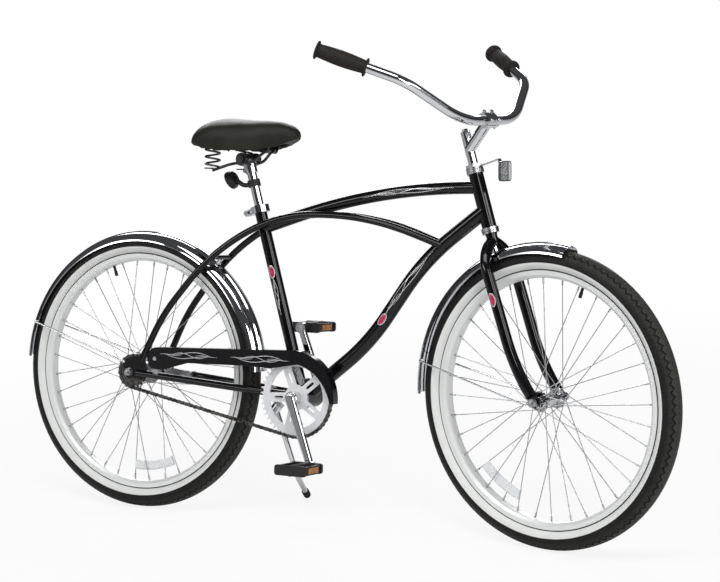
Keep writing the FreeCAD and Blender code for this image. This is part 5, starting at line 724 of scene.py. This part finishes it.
enamel = black_enamel()
coils = [spring_grid(1.0), spring_grid(-1.0)]
springs = make_piece("saddle_coils", coils, "saddle_carrier", enamel)
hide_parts("saddle_springs")
foot = bike.place((SPRING_PLACE[0], 0.0, SPRING_FOOT - SPRING_WIRE))
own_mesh(springs)
print("springs", len(springs.data.polygons), "faces")

# %% [markdown]
# The grips are moulded rubber sleeves: a swell in the palm, a flange at each end, and fine ribs along
# their length that a solid would show badly. A profile of radii is turned about the bar's end.

# %% Grips
BAR_END, BAR_KNEE = np.array([(-95.0, 328.0, 443.0), (41.0, 228.0, 327.0)])
GRIP_LENGTH, GRIP_BORE = 117.0, 11.3
FLANGE_LENGTH, GRIP_WAIST, PALM_SWELL = 9.0, 15.1, 2.5
# A flange, from the grip's end inwards: distance along the bar and radius.
FLANGE = np.array([
    (0.0, 0.2), (0.0, 18.2), (0.5, 19.6), (1.6, 20.8), (3.4, 20.9), (4.4, 19.4), (5.2, 17.0), (6.6, 15.3),
    (FLANGE_LENGTH, GRIP_WAIST),
])
GRIP_RIBS, RIB_STEPS, RIB_DEPTH = 36, 6, 0.12
RIB_START, RIB_EASE = 12.0, 4.0


def moulded_rubber():
    """Matt brown-black rubber with a dusty bloom and a fine skin."""
    r = recipe("moulded_rubber")
    bloom = r.noise(40.0)
    grain = r.noise(1100.0, 2.0)
    return r.surface({
        "Base Color": r.blend(bloom, (0.011, 0.009, 0.008), (0.022, 0.018, 0.016)),
        "Roughness": 0.52 + bloom * 0.15 + grain * 0.1,
        "Normal": r.bump(grain, 0.00005),
        "Specular IOR Level": 0.18,
    })


def grip_grid(side):
    """Radius r(s) turned about the bar: flanges at both ends, a swell of 15.1 + 2.5 sin between them,
    less ribs of 0.06 (1 - cos 36 a) where the palm lies."""
    between = np.linspace(FLANGE_LENGTH, GRIP_LENGTH - FLANGE_LENGTH, 26)[1:-1]
    arch = np.sin(np.pi * (between - FLANGE_LENGTH) / (GRIP_LENGTH - 2 * FLANGE_LENGTH))
    palm = np.stack([between, GRIP_WAIST + PALM_SWELL * arch], -1)
    far = np.stack([GRIP_LENGTH - FLANGE[::-1, 0], FLANGE[::-1, 1]], -1)
    profile = np.concatenate([FLANGE, palm, far[:-1], [(GRIP_LENGTH, GRIP_BORE)]])
    a = circle(GRIP_RIBS * RIB_STEPS)
    from_end = np.minimum(profile[:, 0], GRIP_LENGTH - profile[:, 0])
    held = np.clip((from_end - RIB_START) / RIB_EASE, 0, 1)
    radius = profile[:, 1:] - held[:, None] * RIB_DEPTH / 2 * (1 - np.cos(GRIP_RIBS * a))[None]
    inward = unit(BAR_KNEE - BAR_END)
    out, over = square_to(inward)
    ring = np.cos(a)[:, None] * out + np.sin(a)[:, None] * over
    points = BAR_END + profile[:, :1, None] * inward + radius[..., None] * ring[None]
    return fork.place(points * (1.0, side, 1.0))


rubber = moulded_rubber()
for side, name in ((1.0, "left"), (-1.0, "right")):
    grip = make_piece("ribbed_grip_" + name, [grip_grid(side)], "handlebar", rubber)
    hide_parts("grip_" + name)
print("grips", len(grip.data.polygons), "faces each")

# %% [markdown]
# Reflectors are moulded in coloured or clear plastic. Prisms in it throw the light back, and each looks
# brighter or darker than the next, so the finish is cells of two tones under a clear gloss: painted light
# and shade. The front reflector also has a painted dark edge, a painted dark line beside its ridge, and
# one slope painted lighter.

# %% Prism lenses
# Places of the front reflector's painted shade: a dark line beside the ridge, the lighter painted slope past
# it, and the dark edge; then the grey of that painted shade.
RIDGE_START, RIDGE_END, EDGE_START = (0.50, 0.53), (0.64, 0.67), (0.86, 0.92)
PAINTED_SHADE_GREY = (0.03, 0.032, 0.032)


def prism_lens(name, dark, bright, shaded_rim=False):
    """Moulded prismatic plastic: clear gloss over cells of two tones, painted light and shade of the prisms.
    With a shaded rim, the edge and a line beside the ridge get painted shade, and the slope past that line
    gets a painted lighter tone: its UV map counts from the middle to the edge, and across."""
    r = recipe(name)
    cells = r.make("ShaderNodeTexVoronoi", None, {"Vector": r.where(), "Scale": 420.0})
    # Each cell's tone is painted light and shade of a prism; the same cells give the relief and the shine.
    depth = r.ease(cells, 0.1, 0.6)
    colour = r.blend(depth, bright, dark)
    if shaded_rim:
        # Painted shade: a dark line beside the ridge and a dark edge; the slope past the line is painted
        # lighter.
        across = r.axis(r.where("UV"), "Y")
        lit_slope = r.ease(across, *RIDGE_END)
        ridge = r.ease(across, *RIDGE_START) * (1.0 - lit_slope)
        edge = r.ease(r.axis(r.where("UV"), "X"), *EDGE_START)
        colour = r.blend(ridge + edge, r.blend(lit_slope, colour, bright), PAINTED_SHADE_GREY)
    return r.surface({
        "Base Color": colour,
        "Roughness": 0.10 + depth * 0.12,
        "Normal": r.bump(cells, 0.0006),
        "Coat Weight": 0.8,
        "Coat Roughness": 0.05,
    })


amber = prism_lens("amber_lens", (0.30, 0.10, 0.02), (0.62, 0.26, 0.06))
print("amber lens of", len(amber.node_tree.nodes), "nodes")

# %% [markdown]
# Each pedal carries an amber reflector in its front and rear rail. It is a plate with a field of small
# pyramids on its face: every second point, both ways, is pulled out to a tip. A row of the grid runs out
# along the face and back along the rear, and so closes.

# %% Pedal reflectors
PEDAL_RAIL, PEDAL_MIDDLE = 38.3, 126.0
PEDAL_LENS, PYRAMID = (44.0, 13.0), 2.2
PLATE_THICK, PYRAMID_TALL = 1.1, 0.9


def pedal_lens_grid():
    """Front x = 1.1 + 0.9 at points that are odd both ways, and rear x = 0, over a grid of half pyramids."""
    across, up = (np.linspace(-s / 2, s / 2, int(s / PYRAMID) * 2 + 1) for s in PEDAL_LENS)
    odd = (np.arange(len(across))[:, None] % 2) * (np.arange(len(up))[None] % 2)
    across, up = np.meshgrid(across, up, indexing="ij")
    face = np.stack([PLATE_THICK + PYRAMID_TALL * odd, across, up], -1)
    rear = np.stack([np.zeros_like(across), across, up], -1)
    return np.concatenate([face, rear[:, ::-1]], axis=1)


pedal_lens = pedal_lens_grid() + (PEDAL_RAIL, 0.0, 0.0)
for side, name in ((1.0, "left"), (-1.0, "right")):
    pedal = Drawing(joint_line("pedal_" + name + "_spin")[0], bike.axes[0], bike.axes[1])
    middle = (0.0, side * PEDAL_MIDDLE, 0.0)
    lenses = [pedal.place(pedal_lens * (way, 1.0, 1.0) + middle) for way in (1.0, -1.0)]
    make_piece("pedal_lenses_" + name, lenses, "pedal_" + name, amber, smooth=False)
print("pedal lenses", pedal_lens.size // 3, "points each")

# %% [markdown]
# The front reflector hangs upright on its bracket. Its clear face has two slopes that meet in an upright
# ridge, and its corners are round. Rings of a rounded oblong, from the middle of the back to the rim and
# in again over the face, give that form.

# %% Front reflector
REFLECTOR_PLACE = (79.7, 0.0, 108.0)
HALF_WIDE, HALF_TALL = 22.0, 22.5
REFLECTOR_BACK, REFLECTOR_EDGE, RIDGE_RISE = -4.5, 0.5, 4.0
BACK_RINGS, FACE_RINGS = [0.02, 0.95, 1.0], [1.0, 0.93, 0.7, 0.45, 0.2, 0.02]
FORK_RAKE = np.radians(17.3)


def reflector_grid():
    """Rings y = s a c, z = s b d, with c and d the cube roots of cosine and sine; on the face
    x = edge + rise (1 - |y| / a), and on the back x is the same all over. Then all of it is turned
    back by the fork's rake, to hang upright."""
    a = circle(72)
    scale = np.array(BACK_RINGS + FACE_RINGS)[:, None]
    behind = np.arange(len(scale))[:, None] < len(BACK_RINGS)
    y = scale * HALF_WIDE * np.cbrt(np.cos(a))
    z = scale * HALF_TALL * np.cbrt(np.sin(a))
    x = np.where(behind, REFLECTOR_BACK, REFLECTOR_EDGE + RIDGE_RISE * (1 - np.abs(y) / HALF_WIDE))
    c, s = np.cos(FORK_RAKE), np.sin(FORK_RAKE)
    points = np.stack([x * c + z * s, y, z * c - x * s], -1) + REFLECTOR_PLACE
    from_middle = np.broadcast_to(np.where(behind, 1.0, scale), y.shape)
    return fork.place(points), np.stack([from_middle, 0.5 + 0.5 * y / HALF_WIDE], -1)


# Clear lens, with painted shade at its edge and beside its ridge, and one slope painted lighter.
clear = prism_lens("clear_lens", (0.12, 0.13, 0.13), (0.60, 0.63, 0.63), shaded_rim=True)
points, uv = reflector_grid()
reflector = make_piece("front_reflector_lens", [points], "fork", clear, uv=uv, smooth=False)
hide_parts("front_reflector")
print("front reflector", len(reflector.data.polygons), "faces")

# %% [markdown]
# The frame wears thin silver striping and small plain red plates. A painter lays a stripe with a long
# brush, so it starts and ends in a point. Here a stripe is a ribbon that follows a curve on the tube's
# skin: so far along it and so far round it, and its width swells and tapers.

# %% Tubes to paint on
# Each tube as in the CAD: its corners, the radius of each bend and the tube's own radius.
TOP_TUBE = ([(899.8, 0, 794.5), (645.4, 0, 790.0), (339.3, 0, 689.9)], [1520.5], 14.3)
DOWN_TUBE = (
    [(915.7, 0, 743.6), (767.9, 0, 630.1), (629.5, 0, 433.4), (462.3, 0, 300.0)], [557.0, 536.0], 16.8,
)
SEAT_TUBE = ([(454.8, 0, 300.0), (323.6, 0, 743.0)], [], 14.3)
FORK_BLADE = ([(0.5, -52.5, -60.0), (9.3, -52.5, -319.4)], [], 12.7)
SIDE = np.array([0.0, -1.0, 0.0])
TUBE_STEPS = 400


def bent_line(points, bends, steps=40):
    """Straight runs joined by tangent arcs: each arc turns between the two spokes of its centre."""
    points = np.array(points, float)
    runs = [points[:1]]
    for before, corner, after, radius in zip(points, points[1:], points[2:], bends):
        back_way, on_way = unit(before - corner), unit(after - corner)
        half = np.arccos(np.clip(back_way @ on_way, -1, 1)) / 2
        middle = corner + unit(back_way + on_way) * radius / np.sin(half)
        start = corner + back_way * radius / np.tan(half) - middle
        stop = corner + on_way * radius / np.tan(half) - middle
        turn = np.pi - 2 * half
        t = np.linspace(0, 1, steps)[:, None]
        runs.append(middle + (np.sin((1 - t) * turn) * start + np.sin(t * turn) * stop) / np.sin(turn))
    return np.concatenate(runs + [points[-1:]])


def read_at(places, steps, rows):
    """Rows of an array read between its steps, on a straight line from each to the next."""
    return np.stack([np.interp(places, steps, column) for column in rows.T], -1)


def on_tube(tube, along, round_mm, side=1.0):
    """Points on a tube's skin and their outward directions: P(s) + r (cos a S + sin a N), a = round / r."""
    points, bends, radius = tube
    line = bent_line(points, bends)
    length = distance_along(line)
    fine = np.linspace(0, length[-1], TUBE_STEPS)
    path = read_at(fine, length, line)
    at = read_at(along, fine, path)
    ahead = unit(read_at(along, fine, unit(np.gradient(path, axis=0))))
    over = np.cross(ahead, SIDE)
    over = unit(over * np.where(over[:, 2:] < 0, -1.0, 1.0))
    a = (np.asarray(round_mm) / radius)[:, None]
    out = np.cos(a) * SIDE * side + np.sin(a) * over
    return at + radius * out, out


print("the top tube's line has", len(bent_line(*TOP_TUBE[:2])), "points")

# %% [markdown]
# One pattern serves everywhere: a spear along the middle and pairs of leaves that curl away from it.
# It is written in shares of its own length and height, then laid on a tube or on the flat guard.

# %% Striping
LIFT, SINK = 0.16, 0.5
BRUSH_TIP, BRUSH_TAPER = 0.04, 0.6
GUARD_FACE = -63.0
t = np.linspace(0, 1, 41)
# Strokes: shares of the pattern's length, of its height and of the line's width.
STROKES = [
    (-1 + 2 * t, 0.50 * np.sin(np.pi * t) - 0.22 * np.sin(2 * np.pi * t), 1.0),
    (-1 + 2 * t, -0.50 * np.sin(np.pi * t) - 0.22 * np.sin(2 * np.pi * t), 1.0),
    (-0.72 + 1.55 * t, 0.42 * np.sin(2 * np.pi * t), 0.8),
    (0.30 + 0.95 * t, 0.85 * t * (1 - t) * np.cos(2.4 * t), 0.7),
    (-0.30 - 0.95 * t, -0.85 * t * (1 - t) * np.cos(2.4 * t), 0.7),
]


def ribbon(points, out, width):
    """Flat strip about a line on a skin: half a width to each side, a hair proud and rooted below."""
    ahead = unit(np.gradient(points, axis=0))
    across = unit(np.cross(out, ahead))
    share = np.sin(np.pi * np.linspace(BRUSH_TIP, 1 - BRUSH_TIP, len(points)))[:, None] ** BRUSH_TAPER
    edge = across * share * width / 2
    above, below = out * LIFT, -out * SINK
    corners = [points + edge + above, points - edge + above, points - edge + below, points + edge + below]
    return np.stack(corners, 1)


def stripes_on_tube(tube, middle, length, height, width, side):
    """The pattern on one side of a tube, its length along it and its height round it."""
    return [
        bike.place(ribbon(*on_tube(tube, middle + a * length / 2, b * height, side), width * w))
        for a, b, w in STROKES
    ]


def stripes_on_guard(middle, length, height, width):
    """The same pattern on the guard's outer face, a plane at its own distance from the middle."""
    grids = []
    for a, b, w in STROKES:
        x, z = middle[0] + a * length / 2, middle[1] + b * height
        points = np.stack([x, np.full_like(x, GUARD_FACE), z], -1)
        grids.append(bike.place(ribbon(points, np.broadcast_to(SIDE, points.shape), width * w)))
    return grids


print(len(STROKES), "strokes in the pattern")

# %% [markdown]
# The paint is silver with a fine grain of metal. The striping of both sides of a tube is one piece.

# %% Lay the stripes
# Tube and middle along it, or x and z on the guard; then length, height and width.
STRIPED_TUBES = {
    "top_tube_striping": (TOP_TUBE, 175.0, 190.0, 9.0, 1.5),
    "down_tube_striping": (DOWN_TUBE, 255.0, 165.0, 11.0, 1.5),
    "seat_tube_striping": (SEAT_TUBE, 245.0, 80.0, 8.0, 1.3),
}
STRIPED_GUARD = [((172.0, 382.0), 130.0, 13.0, 1.5), ((372.0, 385.0), 130.0, 13.0, 1.5)]


def silver_stripe():
    """Silver lining paint with a fine metal grain."""
    r = recipe("silver_stripe")
    grain = r.noise(2500.0, 1.0)
    return r.surface({
        "Base Color": r.blend(grain, (0.55, 0.55, 0.56), (0.78, 0.78, 0.79)),
        "Metallic": 0.35 + grain * 0.2,
        "Roughness": 0.28 + grain * 0.1,
    })


stripe_paint = silver_stripe()
striping = {
    name: stripes_on_tube(*laid, 1.0) + stripes_on_tube(*laid, -1.0) for name, laid in STRIPED_TUBES.items()
}
striping["guard_striping"] = sum([stripes_on_guard(*laid) for laid in STRIPED_GUARD], [])
for name, grids in striping.items():
    make_piece(name, grids, "frame", stripe_paint, smooth=False)
print(sum(len(g) for g in striping.values()), "stripes")

# %% [markdown]
# The red plates are plain ovals with a silver edge, curved to the tube they sit on.

# %% Red plates
# Length, height and how far each stands proud.
PLATE, PLATE_EDGE = (28.0, 13.0, 0.5), (32.0, 17.0, 0.25)
PLATES = {
    "down_tube_plate": (DOWN_TUBE, 356.0, bike.place, "frame"),
    "seat_tube_plate": (SEAT_TUBE, 300.0, bike.place, "frame"),
    "fork_plate": (FORK_BLADE, 102.0, fork.place, "fork"),
}


def oval_grid(tube, middle, place, length, height, lift):
    """Disc in polar steps laid on a tube: along = c + q L/2 cos b, round = q H/2 sin b, closed below."""
    b = circle(36)
    rows = []
    for q, rise in ((0.02, lift), (0.5, lift), (0.94, lift), (1.0, lift * 0.6), (1.0, -SINK), (0.02, -SINK)):
        points, out = on_tube(tube, middle + q * length / 2 * np.cos(b), q * height / 2 * np.sin(b))
        rows.append(points + out * rise)
    return place(np.stack(rows))


def red_enamel():
    """Deep red enamel with a clear gloss and a little cloud."""
    r = recipe("red_enamel")
    cloud = r.noise(180.0)
    return r.surface({
        "Base Color": r.blend(cloud, (0.34, 0.010, 0.045), (0.50, 0.020, 0.075)),
        "Roughness": 0.22 + cloud * 0.1,
        "Coat Weight": 1.0,
        "Coat Roughness": 0.05,
    })


red_paint = red_enamel()
for name, (tube, middle, place, body) in PLATES.items():
    edge, plate = (oval_grid(tube, middle, place, *form) for form in (PLATE_EDGE, PLATE))
    make_piece(name + "_edge", [edge], body, stripe_paint)
    make_piece(name, [plate], body, red_paint)
print(len(PLATES), "plain red plates")

# %% [markdown]
# The rest of the bicycle is the CAD metal itself, which only needs its finishes. Black paint is a dark
# base under clear lacquer, and silver paint has flakes of metal in it.

# %% Frame paints
def gloss_paint():
    """Black base under clear lacquer, with the slight orange peel of sprayed paint."""
    r = recipe("gloss_paint")
    peel = r.noise(260.0, 2.0)
    return r.surface({
        "Base Color": r.blend(r.noise(12.0), (0.0015, 0.0015, 0.002), (0.004, 0.004, 0.005)),
        "Roughness": 0.16 + peel * 0.06,
        "Normal": r.bump(peel, 0.00003),
        "Specular IOR Level": 0.1,
        "Coat Weight": 0.5,
        "Coat Roughness": 0.03,
    })


def silver_paint():
    """Pale silver paint: a bright base with a little metal flake under thin lacquer."""
    r = recipe("silver_paint")
    flake = r.noise(1800.0, 1.0)
    return r.surface({
        "Base Color": r.blend(flake, (0.66, 0.67, 0.68), (0.84, 0.85, 0.86)),
        "Metallic": 0.25 + flake * 0.15,
        "Roughness": 0.34 + r.noise(60.0) * 0.1,
        "Coat Weight": 0.3,
    })


black_gloss, silver_gloss = gloss_paint(), silver_paint()
print("paints:", black_gloss.name, silver_gloss.name)

# %% [markdown]
# Chrome is a mirror with faint smears. Alloy is turned on a lathe, so its fine lines run round the
# wheel. Plain steel is duller, and its patches differ in shine.

# %% Bright metals
LATHE_LINES = 2600.0


def bright_chrome():
    """Mirror plating with faint smears and a trace of fine pitting."""
    r = recipe("bright_chrome")
    smear = r.noise(22.0, 4.0)
    pits = r.noise(1600.0, 1.0)
    return r.surface({
        "Base Color": r.blend(smear, (0.60, 0.61, 0.63), (0.74, 0.75, 0.77)),
        "Metallic": 1.0,
        "Roughness": 0.03 + r.ease(smear, 0.45, 0.8) * 0.08,
        "Normal": r.bump(pits, 0.00001),
    })


def turned_alloy(name, axle):
    """Silver alloy with lathe lines: random brightness by distance from the axle alone."""
    r = recipe(name)
    ends = {0: r.where(), 1: tuple(axle)}
    radius = r.make("ShaderNodeVectorMath", {"operation": "DISTANCE"}, ends, "Value")
    rings = {"W": radius * LATHE_LINES, "Scale": 1.0}
    lines = r.make("ShaderNodeTexNoise", {"noise_dimensions": "1D"}, rings)
    dull = r.noise(30.0)
    return r.surface({
        "Base Color": r.blend(lines, (0.70, 0.71, 0.70), (0.84, 0.85, 0.84)),
        "Metallic": 0.30 + dull * 0.1,
        "Roughness": 0.32 + lines * 0.14 + dull * 0.06,
        "Normal": r.bump(lines, 0.00004),
    })


def plain_steel():
    """Zinc-bright steel with dull patches."""
    r = recipe("plain_steel")
    patch = r.noise(70.0)
    return r.surface({
        "Base Color": r.blend(patch, (0.36, 0.36, 0.37), (0.58, 0.58, 0.59)),
        "Metallic": 1.0,
        "Roughness": 0.20 + patch * 0.18,
        "Normal": r.bump(r.noise(900.0, 2.0), 0.00003),
    })


chrome, steel = bright_chrome(), plain_steel()
front_alloy = turned_alloy("front_rim_alloy", front_axle)
rear_alloy = turned_alloy("rear_rim_alloy", rear_axle)
print("metals:", chrome.name, steel.name, front_alloy.name, rear_alloy.name)

# %% [markdown]
# The chain is steel that has been oiled and has caught dust. The pedals are black plastic from a mould
# with a fine grain, and the wheels and the seat post carry a pale and a red reflector.

# %% Chain, plastic and reflectors
def oiled_chain():
    """Blackened steel, shiny where oil lies and matt where dust has stuck."""
    r = recipe("oiled_chain")
    oil = r.ease(r.noise(110.0), 0.4, 0.65)
    return r.surface({
        "Base Color": r.blend(oil, (0.10, 0.094, 0.088), (0.030, 0.029, 0.028)),
        "Metallic": 0.55 + oil * 0.35,
        "Roughness": 0.52 - oil * 0.22,
        "Normal": r.bump(r.noise(1200.0, 2.0), 0.0001),
    })


def moulded_plastic():
    """Black moulded plastic with a fine spark-eroded grain."""
    r = recipe("moulded_plastic")
    grain = r.noise(1500.0, 2.0)
    return r.surface({
        "Base Color": r.blend(r.noise(30.0), (0.010, 0.010, 0.010), (0.022, 0.021, 0.020)),
        "Roughness": 0.34 + grain * 0.18,
        "Normal": r.bump(grain, 0.0001),
        "Specular IOR Level": 0.3,
    })


dark_chain, plastic = oiled_chain(), moulded_plastic()
pale = prism_lens("pale_lens", (0.72, 0.74, 0.75), (0.93, 0.94, 0.95))
red = prism_lens("red_lens", (0.16, 0.003, 0.003), (0.50, 0.02, 0.02))
print("and:", dark_chain.name, plastic.name, pale.name, red.name)

# %% [markdown]
# Each finish is then given to the nodes that wear it. A node that a piece replaces is hidden and needs none.

# %% Dress the nodes
FINISHES = [
    (black_gloss, "head_tube top_tube down_tube seat_tube bottom_bracket_shell twin_tubes chain_stays "
     "rear_dropouts chain_guard fork_blades fork_steerer"),
    (chrome, "stem stem_fixings handlebar seat_clamp seat_post front_fender rear_fender "
     "front_fender_fixings rear_fender_fixings crank kickstand_leg front_hub"),
    (steel, "headset_top headset_bearings front_axle rear_axle front_spokes rear_spokes rear_hub "
     "pedal_spindles brake_arm kickstand_bracket bottom_bracket_bearings coaster_brake_shoes guard_fixings"),
    (dark_chain, "chain rear_sprocket"),
    (front_alloy, "front_rim"),
    (rear_alloy, "rear_rim"),
    (silver_gloss, "chainring"),
    (rubber, "kickstand_foot front_inner_tube rear_inner_tube"),
    (enamel, "saddle_frame saddle_clamp saddle_base"),
    (plastic, "pedal_left pedal_right rear_reflector_mount"),
    (pale, "front_wheel_reflector rear_wheel_reflector"),
    (red, "rear_reflector"),
]
wears = {name: material for material, names in FINISHES for name in names.split()}
for name, material in wears.items():
    nodes[name].data.materials.clear()
    nodes[name].data.materials.append(material)
bare = [name for name, node in nodes.items() if not node.hide_render and name not in wears]
print(len(wears), "nodes dressed, without a finish:", bare)
